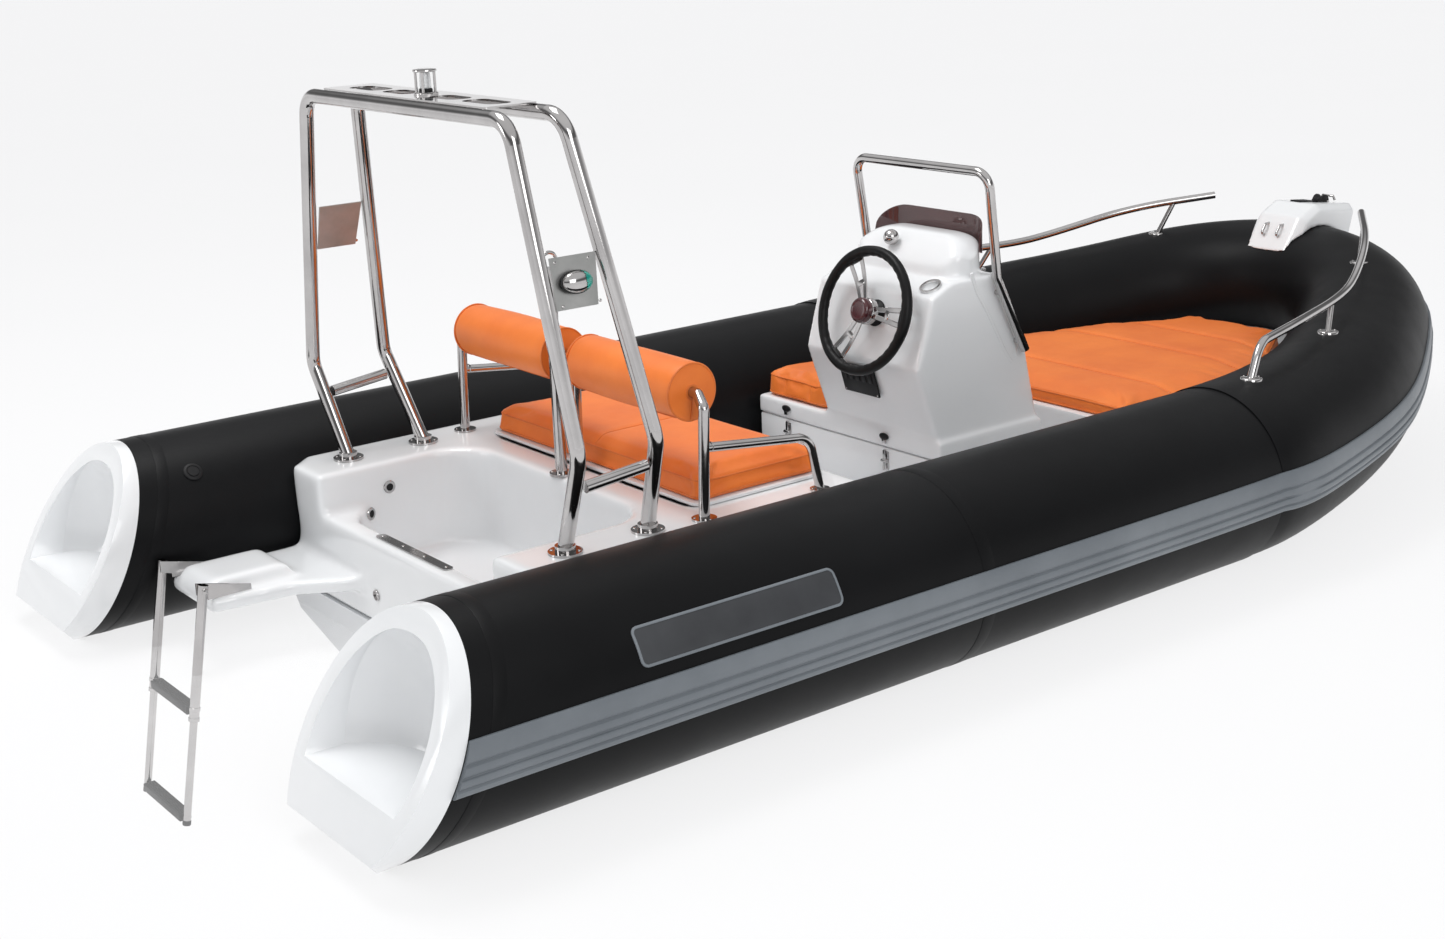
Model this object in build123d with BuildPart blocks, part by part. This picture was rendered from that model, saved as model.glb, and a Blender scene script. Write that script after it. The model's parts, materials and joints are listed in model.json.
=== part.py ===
from build123d import *
import math
import os

# Rigid inflatable boat, in millimetres. +X to the bow, +Y to port, +Z up.
# The origin is on the waterline, on the centreline, amidships.

# ---------------------------------------------------------------- dimensions
tube_radius = 254.8          # inflated collar, straight part
tube_y = 861.9               # collar axis off the centreline
tube_z = 245.3               # collar axis above the waterline
bow_radius = 206.0           # collar radius at the stem
stern_x = -2200.0            # lowest aft point of the tube ends
straight_end_x = 586.0       # collar axis starts to curve inwards here
curve_radius = 2240.0        # long shoulder curve
curve_angle = 31.2           # degrees turned by the shoulder curve
link_length = 124.0          # straight run between shoulder and stem curve
rise_start_x = 61.0          # collar axis starts to rise here
bow_rise = 231.0             # rise of the collar axis at the stem
rise_power = 2.95

deck_z = 409.5               # aft seat deck
floor_z = 110.0              # cockpit floor
bow_deck_z = 312.0           # deck under the bow cushion
seam_z = 255.5               # locker base / console lid seam
lid_z = 316.0                # top of the console lid
lip_z = 298.0                # transom lip at the splash well
well_floor_z = 130.0
transom_x = -1540.0
seat_front_x = -484.0

cap_rake = 0.43              # tube / end cap joint leans forward going up
face_rake = 0.60             # end cap face leans forward going up
arch_r = 19.0
rail_r = 14.0
os.makedirs("parts", exist_ok=True)


def write(part, name):
    part.label = name
    export_step(part, "parts/" + name + ".step")


# ------------------------------------------------------------ collar centreline
shoulder = math.radians(curve_angle)
after_shoulder = (
    straight_end_x + curve_radius * math.sin(shoulder),
    tube_y - curve_radius * (1 - math.cos(shoulder)),
)
after_link = (
    after_shoulder[0] + link_length * math.cos(shoulder),
    after_shoulder[1] - link_length * math.sin(shoulder),
)
stem_radius = after_link[1] / math.cos(shoulder)
stem_x = after_link[0] + stem_radius * (1 - math.sin(shoulder))
rise_span = stem_x - rise_start_x


def axis_z(x):
    """Height of the collar axis over x."""
    t = min(max((x - rise_start_x) / rise_span, 0.0), 1.0)
    return tube_z + bow_rise * t**rise_power


def axis_radius(x):
    """Collar radius over x."""
    t = min(max((x - straight_end_x) / (stem_x - straight_end_x), 0.0), 1.0)
    return tube_radius + (bow_radius - tube_radius) * t**1.5


def axis_point(kind, t):
    """Port collar axis: x, y and heading turned, on the shoulder or stem arc."""
    if kind == "straight":
        return t, tube_y, 0.0
    if kind == "shoulder":
        a = shoulder * t
        return (
            straight_end_x + curve_radius * math.sin(a),
            tube_y - curve_radius * (1 - math.cos(a)),
            a,
        )
    a = shoulder + (math.pi / 2 - shoulder) * t
    cx = after_link[0] - stem_radius * math.sin(shoulder)
    cy = after_link[1] - stem_radius * math.cos(shoulder)
    return cx + stem_radius * math.sin(a), cy + stem_radius * math.cos(a), a


def axis_plane(x, y, a, side):
    """Plane square to the collar axis at a station."""
    dx = 1.0
    slope = (axis_z(x + dx) - axis_z(x - dx)) / (2 * dx) * math.cos(a)
    direction = Vector(math.cos(a), -side * math.sin(a), slope).normalized()
    return Plane(
        origin=(x, side * y, axis_z(x)),
        x_dir=(math.sin(a), side * math.cos(a), 0),
        z_dir=direction,
    )


# station table: kind of run, parameter along it
stations = [
    ("straight", straight_end_x),
    ("shoulder", 0.25),
    ("shoulder", 0.50),
    ("shoulder", 0.75),
    ("shoulder", 1.00),
    ("stem", 0.12),
    ("stem", 0.30),
    ("stem", 0.48),
    ("stem", 0.66),
    ("stem", 0.84),
    ("stem", 1.00),
]


def cap_plane_x(z, offset=0.0):
    return -2095.5 + cap_rake * (z - 74.0) + offset


pocket_radius = 212.0
pocket_floor_z = 165.0
pocket_sphere = 257.0        # hollow of the pocket
pocket_sphere_x = -2165.6
pocket_sphere_z = 286.5


def bowl(side, extra):
    """Scooped pocket of an end cap with a level floor, grown by extra."""
    with BuildPart() as scoop:
        with BuildSketch(Plane.YZ.offset(-2300)):
            with Locations((side * tube_y, tube_z)):
                Circle(pocket_radius + extra)
            with Locations((side * tube_y, pocket_floor_z - extra - 200)):
                Rectangle(600, 400, mode=Mode.SUBTRACT)
        extrude(amount=600)
        with Locations((pocket_sphere_x, side * tube_y, pocket_sphere_z)):
            Sphere(pocket_sphere + extra, mode=Mode.INTERSECT)
    return scoop.part


tubes = {}
for side, name in ((1, "port_tube"), (-1, "starboard_tube")):
    with BuildPart() as tube:
        with BuildSketch(Plane.YZ.offset(-2300)):
            with Locations((side * tube_y, tube_z)):
                Circle(tube_radius)
        extrude(amount=2300 + straight_end_x)
        # the cap joint plane trims the aft end
        with BuildSketch(Plane.XZ.offset(-2000)):
            Polygon(
                (-2500, -200),
                (cap_plane_x(-200), -200),
                (cap_plane_x(700), 700),
                (-2500, 700),
                align=None,
            )
        extrude(amount=4000, mode=Mode.SUBTRACT)
        add(bowl(side, 10.3), mode=Mode.SUBTRACT)
        for kind, t in stations:
            x, y, a = axis_point(kind, t)
            with BuildSketch(axis_plane(x, y, a, side)):
                Circle(axis_radius(x))
        loft()
    tubes[name] = tube.part
    write(tube.part, name)


# ------------------------------------------------------------------- helpers
def bar(points, r, bend=0.0):
    """Round bar along a bent path, added to the part being built."""
    with BuildLine() as path:
        if bend and len(points) > 2:
            FilletPolyline(*points, radius=bend)
        else:
            Polyline(*points)
    wire = path.line
    with BuildSketch(Plane(origin=wire @ 0, z_dir=wire % 0)) as section:
        Circle(r)
    sweep(sections=section.sketch, path=wire, transition=Transition.ROUND)


def block(x0, x1, y0, y1, z0, z1, mode=Mode.ADD):
    """Box between two corners."""
    with Locations(((x0 + x1) / 2, (y0 + y1) / 2, (z0 + z1) / 2)):
        Box(x1 - x0, y1 - y0, z1 - z0, mode=mode)


def slab(x0, x1, y0, y1, z0, z1, r, mode=Mode.ADD):
    """Plate with rounded plan corners."""
    with BuildSketch(Plane.XY.offset(z0)) as plan:
        with Locations(((x0 + x1) / 2, (y0 + y1) / 2)):
            RectangleRounded(x1 - x0, y1 - y0, r)
    extrude(to_extrude=plan.sketch, amount=z1 - z0, mode=mode)


def profile(points, y0, y1, mode=Mode.ADD):
    """Side profile in X and Z, carried from y0 to y1."""
    with BuildSketch(Plane.XZ.offset(-y1)) as side_view:
        Polygon(*points, align=None)
    extrude(to_extrude=side_view.sketch, amount=y1 - y0, mode=mode)


def disc(x, y, z, r, h, mode=Mode.ADD):
    """Upright round, from z up by h."""
    with Locations((x, y, z + h / 2)):
        Cylinder(r, h, mode=mode)


# ------------------------------------------------------------------ end caps
for side, name in ((1, "port_end_cap"), (-1, "starboard_end_cap")):
    with BuildPart() as blank:
        with BuildSketch(Plane.YZ.offset(-2300)):
            with Locations((side * tube_y, tube_z)):
                Circle(tube_radius)
        extrude(amount=600)
        # aft face and chin
        with BuildSketch(Plane.XZ.offset(-2000)):
            Polygon(
                (-2400, -200),
                (-2131, -9.5),
                (-2200, 74.0),
                (-2200 + face_rake * 600, 674.0),
                (-2400, 674.0),
                align=None,
            )
        extrude(amount=4000, mode=Mode.SUBTRACT)
    full = blank.part
    with BuildPart() as bulge:
        add(full)
        add(bowl(side, 10.0), mode=Mode.INTERSECT)
    with BuildPart() as cap:
        add(full)
        # joint to the collar
        with BuildSketch(Plane.XZ.offset(-2000)):
            Polygon(
                (cap_plane_x(-200, -0.3), -200),
                (cap_plane_x(700, -0.3), 700),
                (-1500, 700),
                (-1500, -200),
                align=None,
            )
        extrude(amount=4000, mode=Mode.SUBTRACT)
        add(bulge.part)
        add(bowl(side, 0.0), mode=Mode.SUBTRACT)
    write(cap.part, name)

# -------------------------------------------------------------- rubbing strake
strake_top = math.radians(13.5)
strake_low = math.radians(-11.7)
strake_proud = 13.0


# section table: degrees above the equator, height proud of the collar
strake_rows = [
    (13.5, 1.0), (13.5, 8.0), (0.0, 9.5), (-5.0, 12.5), (-11.7, 7.0), (-11.7, 1.0),
    (-6.0, 1.0), (0.0, 1.0), (7.0, 1.0),
]


def strake_point(r, degrees, proud):
    a = math.radians(degrees)
    return ((r + proud) * math.cos(a), (r + proud) * math.sin(a))


for side, name in ((1, "port_strake"), (-1, "starboard_strake")):
    with BuildPart() as band:
        for kind, t in stations:
            x, y, a = axis_point(kind, t)
            with BuildSketch(axis_plane(x, y, a, side)):
                Polygon(*[strake_point(axis_radius(x), side * d, h) for d, h in strake_rows], align=None)
        loft()
        with BuildSketch(axis_plane(straight_end_x, tube_y, 0.0, side)) as section:
            Polygon(*[strake_point(tube_radius, side * d, h) for d, h in strake_rows], align=None)
        extrude(to_extrude=section.sketch, amount=-(straight_end_x + 2080.0))
        with BuildSketch(Plane.XZ.offset(-2000)):
            Polygon(
                (-2500, -200),
                (cap_plane_x(-200, 0.5), -200),
                (cap_plane_x(700, 0.5), 700),
                (-2500, 700),
                align=None,
            )
        extrude(amount=4000, mode=Mode.SUBTRACT)
    band_blank = band.part
    with BuildPart() as band:
        add(band_blank)
        add(tubes["port_tube" if side > 0 else "starboard_tube"], mode=Mode.SUBTRACT)
    write(band.part, name)

# ------------------------------------------------------------- side patches
patch_solids = []
for side in (1, -1):
    with BuildPart() as patch:
        with BuildSketch(Plane.YZ.offset(-1500)):
            with Locations((side * tube_y, tube_z)):
                Circle(tube_radius + 3.0)
                Circle(tube_radius + 0.3, mode=Mode.SUBTRACT)
        extrude(amount=1200)
        with BuildSketch(Plane.XZ.offset(-2000)):
            with Locations((-1286, 371)):
                RectangleRounded(562, 80, 18)
        extrude(amount=4000, mode=Mode.INTERSECT)
        with Locations((-1286, side * (tube_y + 300), 371)):
            Box(1200, 500, 400, mode=Mode.INTERSECT)
    patch_solids.append(patch.part)
with BuildPart() as patches:
    for piece in patch_solids:
        add(piece)
write(patches.part, "side_patches")

# --------------------------------------------------------------------- hull
# station table: x, keel z, chine y, chine z, sheer y, sheer z
hull_rows = [
    (transom_x, -215.0, 640.0, -20.0, 700.0, 60.0),
    (-400.0, -215.0, 640.0, -18.0, 700.0, 60.0),
    (700.0, -200.0, 600.0, 10.0, 660.0, 60.0),
    (1400.0, -120.0, 440.0, 70.0, 520.0, 160.0),
    (1850.0, 60.0, 230.0, 170.0, 300.0, 250.0),
    (2080.0, 215.0, 60.0, 265.0, 90.0, 300.0),
]
with BuildPart() as hull_blank:
    for x, keel, cy, cz, sy, sz in hull_rows:
        with BuildSketch(Plane.YZ.offset(x)):
            Polygon((0, keel), (cy, cz), (sy, sz), (-sy, sz), (-cy, cz), align=None)
    loft(ruled=True)
hull_solid = hull_blank.part
with BuildPart() as hull:
    add(hull_solid)
    for piece in tubes.values():
        add(piece, mode=Mode.SUBTRACT)
write(hull.part, "hull")

# ------------------------------------------------------------ aft deck moulding
deck_joint_x = -1012.0
well_half = 445.0
drain_y, drain_z = 156.0, 148.0
with BuildPart() as deck:
    block(transom_x, deck_joint_x - 0.3, -668, 668, 60.3, deck_z)
    # aft corners turned in to the transom
    for s in (1, -1):
        with BuildSketch(Plane.XY.offset(50)) as corner:
            Polygon((transom_x - 5, s * 600), (transom_x - 5, s * 700), (-1440, s * 700), align=None)
        extrude(to_extrude=corner.sketch, amount=400, mode=Mode.SUBTRACT)
    # splash well, open over the transom lip
    slab(-1478, -1064, -well_half, well_half, well_floor_z, deck_z + 50, 140, mode=Mode.SUBTRACT)
    block(-1700, -1330, -well_half, well_half, lip_z, deck_z + 50, mode=Mode.SUBTRACT)
    # drain through the transom
    with Locations((-1510, drain_y, drain_z)):
        Cylinder(12, 120, rotation=(0, 90, 0), mode=Mode.SUBTRACT)
    for piece in tubes.values():
        add(piece, mode=Mode.SUBTRACT)
write(deck.part, "deck_moulding")
with BuildPart() as base:
    profile(
        [(deck_joint_x, 60.3), (seat_front_x, 60.3), (seat_front_x - 16, deck_z), (deck_joint_x, deck_z)],
        -668,
        668,
    )
    # stowage under the seat lid
    slab(-955, -560, -470, 470, 130, deck_z + 20, 30, mode=Mode.SUBTRACT)
    for piece in tubes.values():
        add(piece, mode=Mode.SUBTRACT)
write(base.part, "seat_base")
with BuildPart() as plate:
    slab(-1516, -1488, -185, 185, lip_z + 0.3, lip_z + 3.3, 13)
write(plate.part, "transom_plate")
with BuildPart() as drains:
    # one on the straight wall, one round the corner of it
    for place, normal in (((-1329, well_half - 0.3, 337.5), (0, -1, 0)), ((-1399.9, 429.0, 278.0), (0.446, -0.895, 0))):
        with BuildSketch(Plane(origin=place, x_dir=(0, 0, 1), z_dir=normal)) as ring:
            Circle(18)
            Circle(10, mode=Mode.SUBTRACT)
        extrude(to_extrude=ring.sketch, amount=4)
write(drains.part, "well_drains")
with BuildPart() as valves:
    for s in (1, -1):
        out = Vector(0, -s * 0.702, 0.712)
        with BuildSketch(Plane(origin=Vector(-1792, s * tube_y, tube_z) + out * (tube_radius + 0.4), x_dir=(1, 0, 0), z_dir=out)) as cap_ring:
            Circle(26)
        extrude(to_extrude=cap_ring.sketch, amount=6)
write(valves.part, "valves")

# -------------------------------------------------------------- cockpit floor
with BuildPart() as floor:
    profile([(seat_front_x + 0.5, 60.3), (640, 60.3), (640, floor_z), (seat_front_x + 0.5, floor_z)], -690, 690)
    for piece in tubes.values():
        add(piece, mode=Mode.SUBTRACT)
write(floor.part, "cockpit_floor")

# ------------------------------------------------------------------ bow deck
with BuildPart() as bow_blank:
    with BuildSketch(Plane.XY.offset(60.3)):
        Polygon((640.5, 690), (1200, 640), (1800, 420), (2060, 150), (2060, -150), (1800, -420), (1200, -640), (640.5, -690), align=None)
    extrude(amount=bow_deck_z - 60.3)
bow_solid = bow_blank.part
with BuildPart() as bow_deck:
    add(bow_solid)
    add(hull_solid, mode=Mode.SUBTRACT)
    for piece in tubes.values():
        add(piece, mode=Mode.SUBTRACT)
write(bow_deck.part, "bow_deck")

# ------------------------------------------------------------- swim platform
with BuildPart() as platform:
    with BuildSketch(Plane.XY.offset(144)):
        Polygon(
            (-1925, 325), (-1700, 305), (-1600, 240), (transom_x - 0.3, 215),
            (transom_x - 0.3, 605), (-1600, 605), (-1700, 600), (-1925, 592),
            align=None,
        )
    extrude(amount=40)
    profile([(-1925, 184), (-1900, 222), (-1685, 222), (-1668, 184)], 360, 552)
write(platform.part, "swim_platform")

# -------------------------------------------------------------- swim ladder
pivot_x, pivot_z = -1942.0, 219.0
ladder_y = (324.0, 592.0)
ladder_lean = math.radians(10.8)      # the foot of the ladder leans aft
ladder_mid = sum(ladder_y) / 2


def ladder_at(s):
    """Point in X and Z at s down the leaning ladder from the pivot."""
    return pivot_x - s * math.sin(ladder_lean), pivot_z - s * math.cos(ladder_lean)


def leg_plane(y, s):
    x, z = ladder_at(s)
    return Plane(origin=(x, y, z), x_dir=(0, 1, 0), z_dir=(-math.sin(ladder_lean), 0, -math.cos(ladder_lean)))


with BuildPart() as brackets:
    for y, inward in ((ladder_y[0], 1), (ladder_y[1], -1)):
        # upright web beside the leg, standing on the platform edge
        with BuildSketch(Plane.XZ.offset(-(y + (14.0 if inward > 0 else -18.0)))) as web:
            Polygon((-1954, 204), (-1954, 236), (-1805, 200), (-1805, 184.3), (-1925, 184.3), (-1925.3, 196), align=None)
        extrude(to_extrude=web.sketch, amount=-4)
write(brackets.part, "ladder_brackets")

with BuildPart() as upper:
    for y in ladder_y:
        with BuildSketch(leg_plane(y, -14)) as section:
            Circle(13)
            Circle(10.5, mode=Mode.SUBTRACT)
        extrude(to_extrude=section.sketch, amount=364)
write(upper.part, "ladder_upper_legs")
with BuildPart() as tread:
    with BuildSketch(Plane(origin=(ladder_at(324)[0], ladder_mid, ladder_at(324)[1]), x_dir=(0, 1, 0), z_dir=(0, 0, 1)).offset(-13)) as step:
        Rectangle(ladder_y[1] - ladder_y[0] - 27.0, 34)
    extrude(to_extrude=step.sketch, amount=26)
write(tread.part, "ladder_upper_tread")
with BuildPart() as lower:
    for y in ladder_y:
        with BuildSketch(leg_plane(y, 208)) as section:
            Circle(10)
        extrude(to_extrude=section.sketch, amount=428)
write(lower.part, "ladder_lower_legs")
with BuildPart() as tread:
    with BuildSketch(Plane(origin=(ladder_at(616)[0], ladder_mid, ladder_at(616)[1]), x_dir=(0, 1, 0), z_dir=(0, 0, 1)).offset(-13)) as step:
        Rectangle(ladder_y[1] - ladder_y[0] - 21.0, 34)
    extrude(to_extrude=step.sketch, amount=26)
write(tread.part, "ladder_lower_tread")

# ------------------------------------------------------------------- arch
# hoop table: foot x, foot y, knee x, knee y, top x, top y
arch_rows = {
    "arch_aft_hoop": (-1392, 550, -1415, 668, -1440, 499),
    "arch_forward_hoop": (-1154, 552, -1196, 665, -1296, 499),
}
foot_z, knee_z, arch_top_z = deck_z + 10, 670.0, 1419.0
for name, (fx, fy, kx, ky, tx, ty) in arch_rows.items():
    with BuildPart() as hoop:
        bar(
            [
                (fx, fy, foot_z), (kx, ky, knee_z), (tx, ty, arch_top_z),
                (tx, -ty, arch_top_z), (kx, -ky, knee_z), (fx, -fy, foot_z),
            ],
            arch_r,
            70,
        )
        for s in (1, -1):
            disc(fx, s * fy, deck_z + 0.3, 42, 6)
            disc(fx, s * fy, deck_z + 0.3, 25, 20)
    write(hoop.part, name)
with BuildPart() as braces:
    for s in (1, -1):
        bar([(-1381, s * 634, 588), (-1212, s * 640, 606)], 15)
write(braces.part, "arch_braces")
with BuildPart() as plates:
    for s in (1, -1):
        with BuildSketch(Plane(origin=(-1338, s * 581, 1055), x_dir=(1, 0, 0), z_dir=(0, s, 0.2256))) as sheet:
            Polygon((-62, -s * 60), (63, -s * 60), (47, s * 60), (-66, s * 60), align=None)
        extrude(to_extrude=sheet.sketch, amount=2, both=True)
write(plates.part, "arch_side_plates")
with BuildPart() as top_plate:
    slab(-1440, -1296, -400, 400, arch_top_z + 19.3, arch_top_z + 23.3, 10)
    for y, length in ((-292, 150), (-125, 130), (105, 130), (272, 150)):
        slab(-1402, -1334, y - length / 2, y + length / 2, arch_top_z, arch_top_z + 40, 30, mode=Mode.SUBTRACT)
write(top_plate.part, "arch_top_plate")
with BuildPart() as masthead:
    disc(-1368, -10, arch_top_z + 23.5, 30, 62)
write(masthead.part, "all_round_light")
for s, name in ((1, "port_light"), (-1, "starboard_light")):
    with BuildPart() as lamp:
        with BuildSketch(Plane(origin=(-1345, s * 592.5, 1056), x_dir=(1, 0, 0), z_dir=(0, s, 0.24))) as base:
            Ellipse(42, 27)
        extrude(to_extrude=base.sketch, amount=24)
    write(lamp.part, name)

# --------------------------------------------------- backrest frame, tow post
roll_x, roll_z, roll_r = -976.0, 717.0, 75.5
with BuildPart() as frame:
    for s in (1, -1):
        bar([(-1001, s * 577, deck_z + 3), (-990, s * 577, 690), (roll_x, s * 535, roll_z), (roll_x, s * 505, roll_z)], rail_r, 14)
        bar([(-990, s * 577, 591), (-660, s * 577, 552), (-638, s * 590, deck_z + 5)], 12, 50)
        disc(-1001, s * 577, deck_z + 0.3, 32, 5)
        disc(-638, s * 590, deck_z + 0.3, 26, 5)
    bar([(roll_x, 520, roll_z), (roll_x, -520, roll_z)], 12)
    bar([(-987, 0, deck_z + 3), (-979, 0, 708)], rail_r)
    disc(-987, 0, deck_z + 0.3, 20, 5)
write(frame.part, "backrest_frame")
with BuildPart() as tow:
    disc(-1042, 0, deck_z + 0.3, 33, 6)
    disc(-1042, 0, deck_z + 0.3, 16, 560)
    with Locations((-1042, 0, deck_z + 578)):
        Torus(22, 5, rotation=(90, 0, 45))
write(tow.part, "tow_post")
for s, name in ((1, "port_backrest_roll"), (-1, "starboard_backrest_roll")):
    with BuildPart() as roll:
        with Locations(Plane(origin=(roll_x, s * 285, roll_z), z_dir=(0, 1, 0))):
            Cylinder(roll_r, 460)
            Cylinder(15, 500, mode=Mode.SUBTRACT)
    write(roll.part, name)

# ------------------------------------------------------------------ aft seat
with BuildPart() as lid:
    slab(-962, -536, -500, 500, deck_z + 0.8, deck_z + 10, 35)
write(lid.part, "aft_seat_lid")
with BuildPart() as cushion:
    slab(-960, -540, -495, 495, deck_z + 10.3, 492, 40)
write(cushion.part, "aft_seat_cushion")
with BuildPart() as latch:
    block(-968, -962.3, 100, 150, deck_z + 0.8, deck_z + 8)
write(latch.part, "aft_seat_latch")

# ------------------------------------------------- locker, console, passenger seat
locker_x = (104.5, 530.0)
locker_y = (-262.0, 580.0)
with BuildPart() as locker:
    block(locker_x[0], locker_x[1], locker_y[0], locker_y[1], floor_z + 0.3, seam_z - 0.8)
    block(locker_x[0] + 14, locker_x[1] - 14, locker_y[0] + 14, locker_y[1] - 14, floor_z + 14, seam_z + 20, mode=Mode.SUBTRACT)
write(locker.part, "locker_base")

console_half = 250.0
face_lean = math.atan2(88.0 - 27.5, 745.0 - 541.5)
with BuildPart() as console:
    block(locker_x[0] - 4, locker_x[1] + 4, locker_y[0] - 4, locker_y[1] + 4, seam_z, lid_z)
    # helm pod below the windscreen
    with BuildSketch(Plane.XY.offset(745)) as pod:
        with Locations((262, 0)):
            RectangleRounded(166, 456, 78)
    extrude(to_extrude=pod.sketch, amount=155)
    profile([(150, 784), (262, 900), (262, 960), (100, 960), (100, 784)], -300, 300, mode=Mode.SUBTRACT)
    profile(
        [
            (108, lid_z - 1), (27.5, 541.5), (88, 745), (170, 783.5),
            (362, 783.5), (473, 552.5), (529, lid_z - 1),
        ],
        -console_half,
        console_half,
    )
    # round hollow for a cup in the dash
    with Locations((137, -190, 784)):
        Cylinder(27, 60, mode=Mode.SUBTRACT)
write(console.part, "console_moulding")
with BuildPart() as cup:
    with Locations(Plane(origin=(137, -190, 769.2), z_dir=(-0.4252, 0, 0.9051))):
        with Locations((0, 0, 2.5)):
            Cylinder(33, 4)
            Cylinder(26, 4, mode=Mode.SUBTRACT)
write(cup.part, "cup_holder_ring")
with BuildPart() as cushion:
    slab(112, 480, 262, 566, lid_z + 0.5, 404, 25)
write(cushion.part, "passenger_cushion")
latch_rows = (-27, 437)
with BuildPart() as latches:
    for y in latch_rows:
        block(88, 100.2, y - 16, y + 16, seam_z + 8, seam_z + 48)
write(latches.part, "console_latches")
with BuildPart() as strikes:
    for y in latch_rows:
        block(90, 104.2, y - 13, y + 13, seam_z - 70, seam_z - 3)
write(strikes.part, "locker_latches")
with BuildPart() as screen:
    with BuildSketch(Plane.XY.offset(800)):
        with Locations((264, 0)):
            RectangleRounded(178, 468, 84)
            RectangleRounded(170, 460, 80, mode=Mode.SUBTRACT)
    extrude(amount=150)
    # open aft, and cut down along both sides
    profile([(150, 790), (262, 790), (262, 888), (316, 960), (150, 960)], -300, 300, mode=Mode.SUBTRACT)
    profile([(240, 780), (400, 780), (400, 836), (330, 836), (262, 888), (240, 888)], -300, 300, mode=Mode.SUBTRACT)
write(screen.part, "windscreen")
with BuildPart() as hoop:
    bar(
        [
            (440, 278, 545), (322, 278, 775), (275, 286, 1092),
            (275, -286, 1092), (322, -278, 775), (440, -278, 545),
        ],
        14,
        50,
    )
    for s in (1, -1):
        for x, z in ((345, 730), (426, 572)):
            with Locations((x, s * 264.5, z)):
                Cylinder(8, 28, rotation=(90, 0, 0))
write(hoop.part, "console_handrail")

# ---------------------------------------------------------------- steering
wheel_c = (20.0, -30.0, 693.0)
wheel_axis = Vector(-math.cos(face_lean), 0, math.sin(face_lean))
wheel_plane = Plane(origin=wheel_c, x_dir=(0, 1, 0), z_dir=wheel_axis)
with BuildPart() as rim:
    with Locations(wheel_plane):
        Torus(177.5, 15)
write(rim.part, "steering_wheel_rim")
with BuildPart() as spokes:
    for angle in (60, 180, 300):
        with BuildSketch(wheel_plane.offset(-4)) as arm:
            with Locations(Rotation(0, 0, angle)):
                with Locations((101, 0)):
                    Rectangle(126, 34)
        extrude(to_extrude=arm.sketch, amount=5)
    with Locations(wheel_plane.offset(-12)):
        Cylinder(40, 22)
write(spokes.part, "steering_wheel_spokes")
with BuildPart() as hub:
    with Locations(wheel_plane.offset(14.5)):
        Cylinder(34, 26)
write(hub.part, "steering_hub_cap")
with BuildPart() as helm:
    with Locations(wheel_plane.offset(-38.9)):
        Cylinder(40, 21)
write(helm.part, "helm_bezel")
with BuildPart() as ball:
    with Locations((206, 52, 877)):
        Sphere(24)
    bar([(206, 52, 877), (218, 52, 859.5)], 8)
write(ball.part, "compass")
with BuildPart() as panel:
    with BuildSketch(Plane(origin=(47.6, 22, 473), x_dir=(0, 1, 0), z_dir=(-0.957, 0, -0.2895)).offset(0.6)) as face:
        Rectangle(154, 98)
    extrude(to_extrude=face.sketch, amount=7)
write(panel.part, "control_panel")

# ------------------------------------------------------------------- bow
with BuildPart() as cushion:
    with BuildSketch(Plane.XY.offset(bow_deck_z + 0.5)):
        Polygon((650, 500), (1150, 480), (1500, 380), (1830, 190), (1830, -190), (1500, -380), (1150, -480), (650, -500), align=None)
    extrude(amount=60)
write(cushion.part, "bow_cushion")
# rail table: x, y, z along the port rail
bow_rail_rows = [
    (734, 878, 500), (790, 862, 600), (1060, 806, 615), (1400, 700, 618),
    (1560, 640, 646), (1810, 506, 719), (2057, 312, 757),
]
# foot table: x, y, z on the collar, then x, y, z where the strut meets the rail
rail_feet = [
    (734, 879, 505.5, None),
    (1271, 751, 534.0, (1322, 727, 616)),
    (1885, 432, 622.0, (1957, 392, 742)),
]
for s, name in ((1, "port_bow_rail"), (-1, "starboard_bow_rail")):
    with BuildPart() as rail:
        bar([(x, s * y, z) for x, y, z in bow_rail_rows], 13, 55)
        for x, y, z, top in rail_feet:
            disc(x, s * y, z - 8, 32, 14)
            if top:
                bar([(x, s * y, z - 8), (top[0], s * top[1], top[2])], 9)
    rail_blank = rail.part
    with BuildPart() as rail:
        add(rail_blank)
        add(tubes["port_tube" if s > 0 else "starboard_tube"].moved(Location((0, 0, 0.4))), mode=Mode.SUBTRACT)
    write(rail.part, name)
with BuildPart() as pedestal:
    profile([(1950, 560), (1950, 603), (2032, 721), (2112, 757), (2327, 735), (2290, 610), (2250, 560)], -106, 106)
    chamfer(pedestal.edges().filter_by(Axis.X, reverse=True).filter_by(lambda e: e.center().Z > 650 and abs(abs(e.center().Y) - 106) < 1 and e.center().X < 2300), 24)
    block(2185, 2400, -26, 26, 700, 800, mode=Mode.SUBTRACT)
pedestal_blank = pedestal.part
with BuildPart() as pedestal:
    add(pedestal_blank)
    for piece in tubes.values():
        add(piece.moved(Location((0, 0, 0.5))), mode=Mode.SUBTRACT)
write(pedestal.part, "anchor_pedestal")
with BuildPart() as roller:
    with Locations(Plane(origin=(2262, 0, 742), z_dir=(0, 1, 0))):
        Cylinder(24, 42)
write(roller.part, "anchor_roller")
with BuildPart() as eyes:
    for y in (32, -28):
        bar([(2030, y, 690), (1992, y, 690), (1969, y, 656), (2000, y, 650)], 4.5, 8)
    add(pedestal_blank.moved(Location((-0.4, 0, 0.3))), mode=Mode.SUBTRACT)
write(eyes.part, "tow_eyes")
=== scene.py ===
import json
import math

import bmesh
import bpy
import numpy as np
from mathutils import Matrix, Vector
from mathutils.bvhtree import BVHTree

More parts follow.
